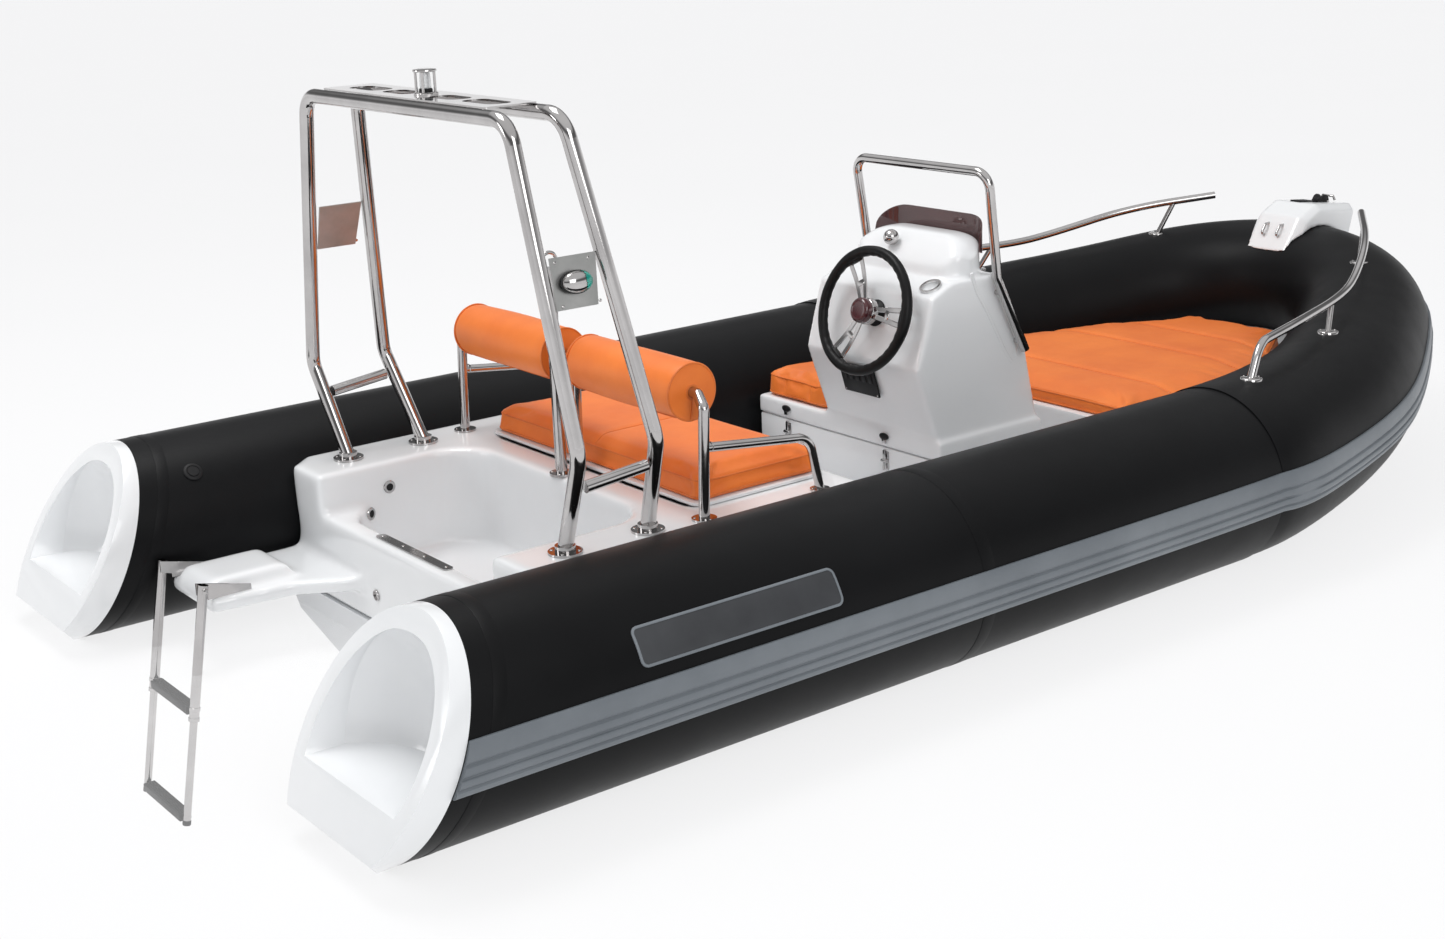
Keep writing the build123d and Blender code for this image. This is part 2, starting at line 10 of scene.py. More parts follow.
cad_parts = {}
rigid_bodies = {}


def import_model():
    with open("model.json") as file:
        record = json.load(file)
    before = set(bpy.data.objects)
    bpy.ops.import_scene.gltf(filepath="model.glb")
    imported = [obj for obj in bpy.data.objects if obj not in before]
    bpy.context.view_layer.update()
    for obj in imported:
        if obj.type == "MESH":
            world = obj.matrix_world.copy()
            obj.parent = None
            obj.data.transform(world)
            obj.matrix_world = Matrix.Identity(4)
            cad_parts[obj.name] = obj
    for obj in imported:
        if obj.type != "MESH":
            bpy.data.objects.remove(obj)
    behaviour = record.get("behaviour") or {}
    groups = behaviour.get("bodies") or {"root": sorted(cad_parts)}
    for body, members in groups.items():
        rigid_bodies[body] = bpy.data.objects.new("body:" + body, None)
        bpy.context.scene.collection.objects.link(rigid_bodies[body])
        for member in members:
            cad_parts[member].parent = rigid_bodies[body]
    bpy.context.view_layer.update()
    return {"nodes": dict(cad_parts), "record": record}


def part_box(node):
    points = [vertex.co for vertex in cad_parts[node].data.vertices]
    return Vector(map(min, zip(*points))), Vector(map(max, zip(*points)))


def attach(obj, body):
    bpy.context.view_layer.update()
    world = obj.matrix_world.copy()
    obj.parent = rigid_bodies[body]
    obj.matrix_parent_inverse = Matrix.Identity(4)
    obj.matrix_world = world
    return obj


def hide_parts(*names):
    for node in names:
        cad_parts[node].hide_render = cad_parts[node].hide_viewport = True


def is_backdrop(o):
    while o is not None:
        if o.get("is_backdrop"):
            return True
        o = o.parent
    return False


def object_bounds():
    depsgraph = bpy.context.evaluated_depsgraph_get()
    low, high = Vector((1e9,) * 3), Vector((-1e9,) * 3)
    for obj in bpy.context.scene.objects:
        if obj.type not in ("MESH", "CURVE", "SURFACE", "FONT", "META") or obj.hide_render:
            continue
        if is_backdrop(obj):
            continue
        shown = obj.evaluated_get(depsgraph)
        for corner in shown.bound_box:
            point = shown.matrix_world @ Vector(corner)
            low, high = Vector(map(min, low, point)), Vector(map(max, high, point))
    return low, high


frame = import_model()
NODES = frame["nodes"]
SLOT_OF = {row["node"]: row["material_slot"] for row in frame["record"]["subparts"]}
BODY_OF = {n: b for b, ns in frame["record"]["behaviour"]["bodies"].items() for n in ns}
scene = bpy.context.scene

# ---------------------------------------------------------------- shared sizes, metres
TUBE_R, TUBE_Y, TUBE_Z = 0.2548, 0.8619, 0.2453
BOW_R = 0.206
STRAIGHT_END, CURVE_R, CURVE_A, LINK = 0.586, 2.240, math.radians(31.2), 0.124
RISE_START, BOW_RISE, RISE_POWER = 0.061, 0.231, 2.95
END1 = (STRAIGHT_END + CURVE_R * math.sin(CURVE_A), TUBE_Y - CURVE_R * (1 - math.cos(CURVE_A)))
END2 = (END1[0] + LINK * math.cos(CURVE_A), END1[1] - LINK * math.sin(CURVE_A))
STEM_R = END2[1] / math.cos(CURVE_A)
STEM_X = END2[0] + STEM_R * (1 - math.sin(CURVE_A))


def axis_z(x):
    t = min(max((x - RISE_START) / (STEM_X - RISE_START), 0.0), 1.0)
    return TUBE_Z + BOW_RISE * t**RISE_POWER


def axis_radius(x):
    t = min(max((x - STRAIGHT_END) / (STEM_X - STRAIGHT_END), 0.0), 1.0)
    return TUBE_R + (BOW_R - TUBE_R) * t**1.5


def cap_plane_x(z, offset=0.0):
    return -2.0955 + 0.43 * (z - 0.074) + offset


def collar_path(n_straight=40, n_shoulder=44, n_stem=40, start=-2.0):
    """x, y and heading down the collar axis from aft to the stem."""
    rows = [(start + (STRAIGHT_END - start) * i / n_straight, TUBE_Y, 0.0) for i in range(n_straight)]
    for i in range(n_shoulder + 1):
        a = CURVE_A * i / n_shoulder
        rows.append((STRAIGHT_END + CURVE_R * math.sin(a), TUBE_Y - CURVE_R * (1 - math.cos(a)), a))
    cx, cy = END2[0] - STEM_R * math.sin(CURVE_A), END2[1] - STEM_R * math.cos(CURVE_A)
    for i in range(n_stem + 1):
        a = CURVE_A + (math.pi / 2 - CURVE_A) * i / n_stem
        rows.append((cx + STEM_R * math.sin(a), cy + STEM_R * math.cos(a), a))
    return rows


def collar_frame(x, y, a, side):
    """Origin, outward direction and up direction of the section at a place on the axis."""
    d = 0.001
    slope = (axis_z(x + d) - axis_z(x - d)) / (2 * d) * math.cos(a)
    along = Vector((math.cos(a), -side * math.sin(a), slope)).normalized()
    out = Vector((math.sin(a), side * math.cos(a), 0.0)).normalized()
    up = along.cross(out) * side
    return Vector((x, side * y, axis_z(x))), out, up.normalized()


# ---------------------------------------------------------------- material tools
def new_material(name):
    m = bpy.data.materials.new(name)
    m.use_nodes = True
    nt = m.node_tree
    bsdf = next(n for n in nt.nodes if n.type == "BSDF_PRINCIPLED")
    coords = nt.nodes.new("ShaderNodeTexCoord")
    return m, nt, bsdf, coords.outputs["Object"]


def noise(nt, coords, scale, detail=4.0, rough=0.5):
    n = nt.nodes.new("ShaderNodeTexNoise")
    n.inputs["Scale"].default_value = scale
    n.inputs["Detail"].default_value = detail
    n.inputs["Roughness"].default_value = rough
    nt.links.new(coords, n.inputs["Vector"])
    return n.outputs["Fac"]


def ramp(nt, fac, low, high, p0=0.3, p1=0.7):
    r = nt.nodes.new("ShaderNodeValToRGB")
    r.color_ramp.elements[0].position, r.color_ramp.elements[0].color = p0, (*low, 1)
    r.color_ramp.elements[1].position, r.color_ramp.elements[1].color = p1, (*high, 1)
    nt.links.new(fac, r.inputs["Fac"])
    return r.outputs["Color"]


def spread(nt, fac, low, high):
    r = nt.nodes.new("ShaderNodeMapRange")
    r.inputs["To Min"].default_value, r.inputs["To Max"].default_value = low, high
    nt.links.new(fac, r.inputs["Value"])
    return r.outputs["Result"]


def bump(nt, height, strength, distance, before=None):
    b = nt.nodes.new("ShaderNodeBump")
    b.inputs["Strength"].default_value = strength
    b.inputs["Distance"].default_value = distance
    nt.links.new(height, b.inputs["Height"])
    if before is not None:
        nt.links.new(before, b.inputs["Normal"])
    return b.outputs["Normal"]


def coated(name, low, high, rough, coat=0.0, grain=(400, 0.08, 0.0002), ripple=None, spec=0.5, big=2.5, sheen=0.0):
    """Moulded or coated surface: cloudy colour, uneven gloss, fine grain and long ripple."""
    m, nt, b, co = new_material(name)
    cloud = noise(nt, co, big, 5.0, 0.6)
    nt.links.new(ramp(nt, cloud, low, high), b.inputs["Base Color"])
    nt.links.new(spread(nt, noise(nt, co, 14.0, 4.0, 0.6), rough[0], rough[1]), b.inputs["Roughness"])
    n = None
    if ripple:
        n = bump(nt, noise(nt, co, ripple[0], 2.0, 0.4), ripple[1], ripple[2])
    n = bump(nt, noise(nt, co, grain[0], 3.0, 0.6), grain[1], grain[2], n)
    nt.links.new(n, b.inputs["Normal"])
    b.inputs["Specular IOR Level"].default_value = spec
    b.inputs["Coat Weight"].default_value = coat
    b.inputs["Coat Roughness"].default_value = 0.08
    b.inputs["Sheen Weight"].default_value = sheen
    return m


MAT = {}
# coated collar fabric: fine woven base under a satin skin
m, nt, b, co = new_material("collar_fabric")
cloud = noise(nt, co, 1.8, 5.0, 0.55)
nt.links.new(ramp(nt, cloud, (0.0030, 0.0031, 0.0036), (0.0062, 0.0064, 0.0072)), b.inputs["Base Color"])
nt.links.new(spread(nt, noise(nt, co, 9.0, 5.0, 0.6), 0.36, 0.50), b.inputs["Roughness"])
wave_x = nt.nodes.new("ShaderNodeTexWave")
wave_x.bands_direction, wave_x.inputs["Scale"].default_value = "X", 190.0
wave_x.inputs["Distortion"].default_value = 0.4
wave_z = nt.nodes.new("ShaderNodeTexWave")
wave_z.bands_direction, wave_z.inputs["Scale"].default_value = "Z", 190.0
wave_z.inputs["Distortion"].default_value = 0.4
for w in (wave_x, wave_z):
    nt.links.new(co, w.inputs["Vector"])
mix = nt.nodes.new("ShaderNodeMath")
mix.operation = "MULTIPLY"
nt.links.new(wave_x.outputs["Fac"], mix.inputs[0])
nt.links.new(wave_z.outputs["Fac"], mix.inputs[1])
n1 = bump(nt, noise(nt, co, 3.0, 2.0, 0.4), 0.25, 0.006)
nt.links.new(bump(nt, mix.outputs[0], 0.12, 0.0004, n1), b.inputs["Normal"])
b.inputs["Specular IOR Level"].default_value = 0.12
MAT["collar_fabric"] = m

MAT["gelcoat_white"] = coated(
    "gelcoat_white", (0.80, 0.815, 0.83), (0.86, 0.87, 0.88), (0.16, 0.27), 0.45,
    (260, 0.03, 0.0002), (5.0, 0.06, 0.002), 0.5, 1.6)
MAT["hull_gelcoat"] = coated(
    "hull_gelcoat", (0.76, 0.78, 0.80), (0.83, 0.84, 0.855), (0.18, 0.30), 0.4,
    (240, 0.03, 0.0002), (4.0, 0.08, 0.002), 0.5, 1.4)

# moulded non-skid: small raised pimples in the gelcoat
m, nt, b, co = new_material("deck_grip")
vor = nt.nodes.new("ShaderNodeTexVoronoi")
vor.inputs["Scale"].default_value = 120.0
vor.inputs["Randomness"].default_value = 0.25
nt.links.new(co, vor.inputs["Vector"])
nt.links.new(ramp(nt, noise(nt, co, 3.0, 5.0, 0.6), (0.60, 0.62, 0.64), (0.72, 0.73, 0.745)), b.inputs["Base Color"])
nt.links.new(spread(nt, noise(nt, co, 25.0), 0.42, 0.60), b.inputs["Roughness"])
nt.links.new(bump(nt, vor.outputs["Distance"], 0.5, 0.0012), b.inputs["Normal"])
MAT["deck_grip"] = m

MAT["strake_grey"] = coated(
    "strake_grey", (0.125, 0.142, 0.160), (0.175, 0.195, 0.215), (0.34, 0.50), 0.0,
    (500, 0.10, 0.0003), (7.0, 0.12, 0.002), 0.5, 3.0)
MAT["patch_grey"] = coated(
    "patch_grey", (0.030, 0.032, 0.036), (0.046, 0.049, 0.054), (0.40, 0.55), 0.0,
    (600, 0.15, 0.0003), None, 0.4, 6.0)

# polished stainless with faint rub marks
m, nt, b, co = new_material("stainless")
nt.links.new(ramp(nt, noise(nt, co, 6.0, 4.0, 0.6), (0.44, 0.428, 0.425), (0.57, 0.556, 0.552)), b.inputs["Base Color"])
b.inputs["Metallic"].default_value = 1.0
nt.links.new(spread(nt, noise(nt, co, 30.0, 6.0, 0.7), 0.045, 0.15), b.inputs["Roughness"])
nt.links.new(bump(nt, noise(nt, co, 60.0, 2.0, 0.5), 0.04, 0.0006), b.inputs["Normal"])
MAT["stainless"] = m
# satin stamped plate
m, nt, b, co = new_material("plate_steel")
nt.links.new(ramp(nt, noise(nt, co, 9.0, 4.0, 0.6), (0.34, 0.35, 0.34), (0.50, 0.50, 0.49)), b.inputs["Base Color"])
b.inputs["Metallic"].default_value = 1.0
nt.links.new(spread(nt, noise(nt, co, 40.0, 6.0, 0.7), 0.30, 0.46), b.inputs["Roughness"])
nt.links.new(bump(nt, noise(nt, co, 22.0, 2.0, 0.5), 0.10, 0.002), b.inputs["Normal"])
MAT["plate_steel"] = m

MAT["tread_plastic"] = coated(
    "tread_plastic", (0.006, 0.006, 0.007), (0.014, 0.014, 0.015), (0.40, 0.60), 0.0,
    (700, 0.30, 0.0004), None, 0.22, 8.0)
MAT["wheel_rim"] = coated(
    "wheel_rim", (0.0035, 0.0035, 0.004), (0.009, 0.0088, 0.009), (0.30, 0.48), 0.0,
    (900, 0.30, 0.0004), None, 0.18, 10.0)
MAT["hub_plastic"] = coated(
    "hub_plastic", (0.045, 0.008, 0.011), (0.075, 0.014, 0.018), (0.12, 0.24), 0.5,
    (300, 0.03, 0.0002), None, 0.5, 20.0)

# leather-grain vinyl
m, nt, b, co = new_material("upholstery")
vor = nt.nodes.new("ShaderNodeTexVoronoi")
vor.inputs["Scale"].default_value = 340.0
nt.links.new(co, vor.inputs["Vector"])
nt.links.new(ramp(nt, noise(nt, co, 4.0, 5.0, 0.6), (0.78, 0.162, 0.018), (0.91, 0.225, 0.028)), b.inputs["Base Color"])
nt.links.new(spread(nt, noise(nt, co, 20.0, 5.0, 0.6), 0.40, 0.56), b.inputs["Roughness"])
n1 = bump(nt, noise(nt, co, 10.0, 3.0, 0.5), 0.22, 0.004)
nt.links.new(bump(nt, vor.outputs["Distance"], 0.22, 0.0004, n1), b.inputs["Normal"])
b.inputs["Sheen Weight"].default_value = 0.08
b.inputs["Specular IOR Level"].default_value = 0.42
MAT["upholstery"] = m
MAT["piping"] = coated(
    "piping", (0.66, 0.14, 0.020), (0.80, 0.20, 0.034), (0.38, 0.5), 0.0,
    (600, 0.2, 0.0003), None, 0.45, 8.0)

# smoked acrylic
m, nt, b, co = new_material("smoked_screen")
nt.links.new(ramp(nt, noise(nt, co, 4.0), (0.060, 0.016, 0.016), (0.085, 0.024, 0.024)), b.inputs["Base Color"])
nt.links.new(spread(nt, noise(nt, co, 30.0), 0.04, 0.10), b.inputs["Roughness"])
b.inputs["Alpha"].default_value = 0.86
b.inputs["Coat Weight"].default_value = 0.4
MAT["smoked_screen"] = m


def lens(name, low, high, alpha, glow=0.0):
    m, nt, b, co = new_material(name)
    nt.links.new(ramp(nt, noise(nt, co, 60.0), low, high), b.inputs["Base Color"])
    nt.links.new(bump(nt, noise(nt, co, 120.0, 1.0), 0.25, 0.001), b.inputs["Normal"])
    b.inputs["Roughness"].default_value = 0.07
    b.inputs["Coat Weight"].default_value = 0.6
    b.inputs["Alpha"].default_value = alpha
    return m


MAT["clear_lens"] = lens("clear_lens", (0.66, 0.68, 0.70), (0.82, 0.84, 0.85), 0.45)
MAT["green_glass"] = lens("green_glass", (0.0, 0.22, 0.17), (0.01, 0.42, 0.33), 0.95)
MAT["red_glass"] = lens("red_glass", (0.30, 0.005, 0.006), (0.55, 0.015, 0.012), 0.95)
# painted shade: a near-black finish for the flat discs that fill the drain openings, standing in for the shade inside
# the holes
MAT["drain_hole_shade"] = coated(
    "drain_hole_shade", (0.006, 0.006, 0.007), (0.014, 0.014, 0.015), (0.5, 0.7), 0.0,
    (500, 0.2, 0.0003), None, 0.3, 8.0)


# ---------------------------------------------------------------- mesh tools
def put(name, mesh, mat, body, replaces=(), smooth=40.0):
    o = bpy.data.objects.new(name, mesh)
    scene.collection.objects.link(o)
    mesh.materials.clear()
    mesh.materials.append(MAT[mat])
    for p in mesh.polygons:
        p.use_smooth = True
    if smooth < 180:
        mesh.set_sharp_from_angle(angle=math.radians(smooth))
    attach(o, body)
    if replaces:
        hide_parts(*replaces)
    return o


def from_lists(name, verts, faces):
    me = bpy.data.meshes.new(name)
    me.from_pydata([tuple(v) for v in verts], [], faces)
    me.update()
    return me


def recalc(me):
    bm = bmesh.new()
    bm.from_mesh(me)
    bmesh.ops.recalc_face_normals(bm, faces=bm.faces)
    bm.to_mesh(me)
    bm.free()
    return me


def node_bmesh(node, flat=0.6):
    """A welded copy of a CAD node with its flat faces joined again."""
    src = NODES[node].data
    bm = bmesh.new()
    verts = [bm.verts.new(v.co) for v in src.vertices]
    for p in src.polygons:
        try:
            bm.faces.new([verts[i] for i in p.vertices])
        except ValueError:
            pass
    bmesh.ops.remove_doubles(bm, verts=bm.verts[:], dist=2e-5)
    bmesh.ops.dissolve_degenerate(bm, dist=1e-6, edges=bm.edges[:])
    bmesh.ops.dissolve_limit(bm, angle_limit=math.radians(flat), verts=bm.verts[:], edges=bm.edges[:])
    return bm


def soften(node, width, mat=None, segments=3, angle=32.0, pick=None, smooth=35.0, flat=0.6):
    """The node's shape with its sharp edges rounded, shown in place of the plain node."""
    bm = node_bmesh(node, flat)
    edges = [
        e for e in bm.edges
        if len(e.link_faces) == 2 and e.calc_face_angle(0.0) > math.radians(angle) and (pick is None or pick(e))
    ]
    if edges:
        bmesh.ops.bevel(
            bm, geom=edges, offset=width, offset_type="OFFSET", segments=segments,
            profile=0.5, affect="EDGES", clamp_overlap=True, harden_normals=False,
        )
    me = bpy.data.meshes.new(node + "_soft")
    bm.to_mesh(me)
    bm.free()
    return put(node + "_soft", me, mat or SLOT_OF[node], BODY_OF[node], (node,), smooth)


def relax(co, edges, passes, weight=None):
    """Laplacian smoothing: rounds edges and leaves flats alone."""
    a, b = edges[:, 0], edges[:, 1]
    both = np.concatenate([a, b])
    other = np.concatenate([b, a])
    count = np.maximum(np.bincount(both, minlength=len(co)), 1)[:, None]
    for _ in range(passes):
        mean = np.stack([np.bincount(both, weights=co[other, q], minlength=len(co)) for q in range(3)], axis=1) / count
        step = 0.6 if weight is None else 0.6 * weight[:, None]
        co = co + (mean - co) * step
    return co


def melt(name, nodes, voxel, passes, keep=None, shape=None):
    """One moulding from one or more CAD nodes, its edges and inner corners run round."""
    bm = bmesh.new()
    for node in nodes:
        src = NODES[node].data
        verts = [bm.verts.new(v.co) for v in src.vertices]
        for p in src.polygons:
            try:
                bm.faces.new([verts[i] for i in p.vertices])
            except ValueError:
                pass
    bmesh.ops.remove_doubles(bm, verts=bm.verts[:], dist=2e-5)
    me = bpy.data.meshes.new(name)
    bm.to_mesh(me)
    bm.free()
    o = bpy.data.objects.new(name, me)
    scene.collection.objects.link(o)
    for other in bpy.context.view_layer.objects:
        other.select_set(False)
    bpy.context.view_layer.objects.active = o
    o.select_set(True)
    rm = o.modifiers.new("remesh", "REMESH")
    rm.mode, rm.voxel_size = "VOXEL", voxel
    bpy.ops.object.modifier_apply(modifier="remesh")
    me = o.data
    co = np.empty(len(me.vertices) * 3, dtype=np.float64)
    me.vertices.foreach_get("co", co)
    co = co.reshape(-1, 3)
    edges = np.empty(len(me.edges) * 2, dtype=np.int64)
    me.edges.foreach_get("vertices", edges)
    edges = edges.reshape(-1, 2)
    if shape:
        co = shape(co, edges)
    co = relax(co, edges, passes)
    me.vertices.foreach_set("co", co.astype(np.float32).ravel())
    me.update()
    if keep:
        dec = o.modifiers.new("thin", "DECIMATE")
        dec.ratio = keep
        bpy.ops.object.modifier_apply(modifier="thin")
        me = o.data
    me.materials.clear()
    me.materials.append(MAT[SLOT_OF[nodes[0]]])
    for p in me.polygons:
        p.use_smooth = True
    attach(o, BODY_OF[nodes[0]])
    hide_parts(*nodes)
    return o


def dome(y):
    """Top of the helm pod across the boat: flat in the middle, run down at both shoulders."""
    t = np.clip((np.abs(y) - 0.105) / 0.124, 0, 1)
    return 0.900 - 0.080 * (1 - np.sqrt(1 - t * t * 0.995))


def pod_dome(co, edges):
    pod = co[:, 2] > 0.792
    co[:, 2] = np.where(pod, np.minimum(co[:, 2], np.maximum(dome(co[:, 1]), 0.792)), co[:, 2])
    weight = np.clip((co[:, 2] - 0.79) / 0.04, 0, 1)
    return relax(co, edges, 26, weight)


def ring_points(n, r):
    return [(r * math.cos(2 * math.pi * i / n), r * math.sin(2 * math.pi * i / n)) for i in range(n)]


def pipe(points, r, n=12, closed=False, r_of=None):
    """Vertices and faces of a round bar along points."""
    pts = [Vector(p) for p in points]
    count = len(pts)
    tangents = []
    for i in range(count):
        if closed:
            t = pts[(i + 1) % count] - pts[i - 1]
        else:
            t = pts[min(i + 1, count - 1)] - pts[max(i - 1, 0)]
        tangents.append(t.normalized())
    guide = Vector((0, 0, 1)) if abs(tangents[0].z) < 0.9 else Vector((1, 0, 0))
    u = (guide - tangents[0] * guide.dot(tangents[0])).normalized()
    verts, faces = [], []
    for i in range(count):
        u = (u - tangents[i] * u.dot(tangents[i])).normalized()
        w = tangents[i].cross(u)
        rr = r_of(i / (count - 1)) if r_of else r
        for cx, cy in ring_points(n, rr):
            verts.append(pts[i] + u * cx + w * cy)
    runs = count if closed else count - 1
    for i in range(runs):
        a, b = i * n, ((i + 1) % count) * n
        for k in range(n):
            faces.append((a + k, a + (k + 1) % n, b + (k + 1) % n, b + k))
    if not closed:
        faces.append(tuple(range(n))[::-1])
        faces.append(tuple(range((count - 1) * n, count * n)))
    return verts, faces


class Bag:
    """Gathers small solids into one mesh."""

    def __init__(self):
        self.v, self.f = [], []

    def add(self, verts, faces):
        k = len(self.v)
        self.v += [Vector(p) for p in verts]
        self.f += [tuple(i + k for i in f) for f in faces]
        return self

    def pipe(self, points, r, n=12, closed=False):
        return self.add(*pipe(points, r, n, closed))

    def turned(self, at, normal, rows, n=24, squash=1.0, along=None):
        """Solid of revolution about normal: rows of (radius, height). squash widens it along a direction."""
        normal = Vector(normal).normalized()
        u = Vector(along) if along is not None else (Vector((1, 0, 0)) if abs(normal.x) < 0.9 else Vector((0, 0, 1)))
        u = (u - normal * u.dot(normal)).normalized()
        w = normal.cross(u)
        verts, faces = [], []
        for r, h in rows:
            for cx, cy in ring_points(n, max(r, 1e-5)):
                verts.append(Vector(at) + u * cx * squash + w * cy + normal * h)
        for i in range(len(rows) - 1):
            for k in range(n):
                faces.append((i * n + k, i * n + (k + 1) % n, (i + 1) * n + (k + 1) % n, (i + 1) * n + k))
        faces.append(tuple(range(n))[::-1])
        faces.append(tuple(range((len(rows) - 1) * n, len(rows) * n)))
        return self.add(verts, faces)

    def screw(self, at, normal, r=0.0045, h=0.0018):
        return self.turned(at, normal, [(r, -0.0004), (r, h * 0.45), (r * 0.8, h * 0.8), (r * 0.35, h)], 12)

    def slab(self, centre, ux, uy, uz, sx, sy, sz, round_by=0.0):
        """Box with sides along three directions, edges cut back by round_by."""
        c, ux, uy, uz = Vector(centre), Vector(ux).normalized(), Vector(uy).normalized(), Vector(uz).normalized()
        bm = bmesh.new()
        bmesh.ops.create_cube(bm, size=1.0)
        for v in bm.verts:
            v.co = Vector((v.co.x * sx, v.co.y * sy, v.co.z * sz))
        if round_by:
            bmesh.ops.bevel(bm, geom=bm.edges[:], offset=round_by, segments=2, profile=0.5, affect="EDGES", clamp_overlap=True)
        bm.verts.ensure_lookup_table()
        verts = [c + ux * v.co.x + uy * v.co.y + uz * v.co.z for v in bm.verts]
        faces = [tuple(v.index for v in f.verts) for f in bm.faces]
        bm.free()
        return self.add(verts, faces)

    def mesh(self, name):
        return recalc(from_lists(name, self.v, self.f))


def rounded_rect(x0, x1, y0, y1, r, n=8, pull=0.0, side=14):
    """Outline of a rounded rectangle whose sides pull in by pull at the middle."""
    pts = []
    for cx, cy, a0 in ((x1 - r, y1 - r, 0), (x0 + r, y1 - r, 90), (x0 + r, y0 + r, 180), (x1 - r, y0 + r, 270)):
        for i in range(n + 1):
            a = math.radians(a0 + 90 * i / n)
            pts.append((cx + r * math.cos(a), cy + r * math.sin(a)))
    dense = []
    for i, p in enumerate(pts):
        q = pts[(i + 1) % len(pts)]
        dense.append(p)
        if math.dist(p, q) > 0.05:
            for k in range(1, side):
                t = k / side
                x, y = p[0] + (q[0] - p[0]) * t, p[1] + (q[1] - p[1]) * t
                nx, ny = q[1] - p[1], -(q[0] - p[0])
                ln = math.hypot(nx, ny)
                s = pull * math.sin(math.pi * t)
                dense.append((x - nx / ln * s, y - ny / ln * s))
    return dense


# ---------------------------------------------------------------- plain finish on every CAD node
for name, o in NODES.items():
    o.data.materials.clear()
    o.data.materials.append(MAT["plate_steel" if name == "arch_side_plates" else SLOT_OF[name]])

# ---------------------------------------------------------------- rubbing strakes
STRAKE = [
    (13.5, -4.0), (13.5, 3.0), (13.2, 6.2), (12.5, 7.6), (8.5, 8.0), (4.6, 7.8), (3.9, 7.0), (3.5, 4.4), (3.0, 4.2),
    (2.5, 6.2), (2.1, 9.8), (1.5, 11.0), (0.0, 11.5), (-1.1, 11.2), (-1.6, 9.8), (-1.9, 6.4), (-2.5, 5.6), (-3.0, 6.4),
    (-3.3, 10.4), (-3.8, 12.0), (-5.0, 12.5), (-6.1, 12.0), (-6.6, 10.4), (-6.9, 6.6), (-7.5, 5.8), (-8.0, 6.8),
    (-8.4, 9.6), (-9.0, 10.4), (-10.3, 10.0), (-11.2, 7.6), (-11.6, 4.0), (-11.7, -4.0),
]
def node_tree(node):
    d = NODES[node].data
    return BVHTree.FromPolygons([v.co for v in d.vertices], [tuple(p.vertices) for p in d.polygons])


for side, label in ((1, "port"), (-1, "starboard")):
    verts, faces = [], []
    rows = collar_path(start=-2.02)
    n = len(STRAKE)
    skin = node_tree(label + "_tube")
    for j, (x, y, a) in enumerate(rows):
        origin, out, up = collar_frame(x, y, a, side)
        wide = axis_radius(x)
        for deg, proud in STRAKE:
            t = math.radians(deg)
            hit = skin.ray_cast(origin, out * math.cos(t) + up * math.sin(t), 0.5)
            r = hit[3] if x > 0.3 and hit[0] is not None and abs(hit[3] - wide) < 0.06 else wide
            p = origin + out * ((r + proud / 1000) * math.cos(t)) + up * ((r + proud / 1000) * math.sin(t))
            if j == 0:
                p.x = cap_plane_x(p.z, 0.002)
            p.y = max(min(p.y, 1.1318), -1.1318)
            verts.append(p)
    for j in range(len(rows) - 1):
        for k in range(n):
            a, b = j * n + k, j * n + (k + 1) % n
            faces.append((a, b, b + n, a + n))
    faces.append(tuple(range(n)))
    faces.append(tuple(range((len(rows) - 1) * n, len(rows) * n))[::-1])
    put(label + "_strake_band", recalc(from_lists("strake", verts, faces)), "strake_grey", "root",
        (label + "_strake",), 38)

# ---------------------------------------------------------------- side patches: raised rim round a bare field
PATCH_X, PATCH_A, PATCH_HX, PATCH_HY = -1.2855, math.radians(30.3), 0.281, 0.046
patch_field, patch_rim = Bag(), Bag()


def patch_point(side, x, s, h):
    t = PATCH_A + s / TUBE_R
    return (PATCH_X + x, side * (TUBE_Y + (TUBE_R + h) * math.cos(t)), TUBE_Z + (TUBE_R + h) * math.sin(t))


def patch_loop(inset):
    r = max(0.018 - inset, 0.0015)
    hx, hy = PATCH_HX - inset, max(PATCH_HY - inset, 0.0016)
    r = min(r, hy * 0.98)
    pts = []
    for cx, cy, a0 in ((hx - r, hy - r, 0), (-hx + r, hy - r, 90), (-hx + r, -hy + r, 180), (hx - r, -hy + r, 270)):
        for i in range(9):
            a = math.radians(a0 + 90 * i / 8)
            pts.append((cx + r * math.cos(a), cy + r * math.sin(a)))
    full = []
    for i, p in enumerate(pts):
        q = pts[(i + 1) % len(pts)]
        full.append(p)
        if (i + 1) % 9 == 0:
            m_ = 40 if (i // 9) % 2 == 0 else 8
            for k in range(1, m_):
                full.append((p[0] + (q[0] - p[0]) * k / m_, p[1] + (q[1] - p[1]) * k / m_))
    return full


for side in (1, -1):
    for bag, table in (
        (patch_rim, [(0.0, -0.001), (0.0, 0.0018), (0.001, 0.0026), (0.0045, 0.0029), (0.0062, 0.0026), (0.0066, 0.0008)]),
        (patch_field, [(0.0058, -0.001), (0.0058, 0.0014), (0.0075, 0.0016), (0.015, 0.0016), (0.026, 0.0016), (0.036, 0.0016), (0.0444, 0.0016)]),
    ):
        verts, faces = [], []
        for inset, h in table:
            loop = patch_loop(inset)
            verts += [patch_point(side, x, s, h) for x, s in loop]
        m_ = len(loop)
        for j in range(len(table) - 1):
            for k in range(m_):
                faces.append((j * m_ + k, j * m_ + (k + 1) % m_, (j + 1) * m_ + (k + 1) % m_, (j + 1) * m_ + k))
        if bag is patch_field:
            faces.append(tuple(range((len(table) - 1) * m_, len(table) * m_)))
        bag.add(verts, faces)
put("side_patch_rims", patch_rim.mesh("patch_rims"), "strake_grey", "root", ("side_patches",), 60)
put("side_patch_fields", patch_field.mesh("patch_fields"), "patch_grey", "root", (), 60)

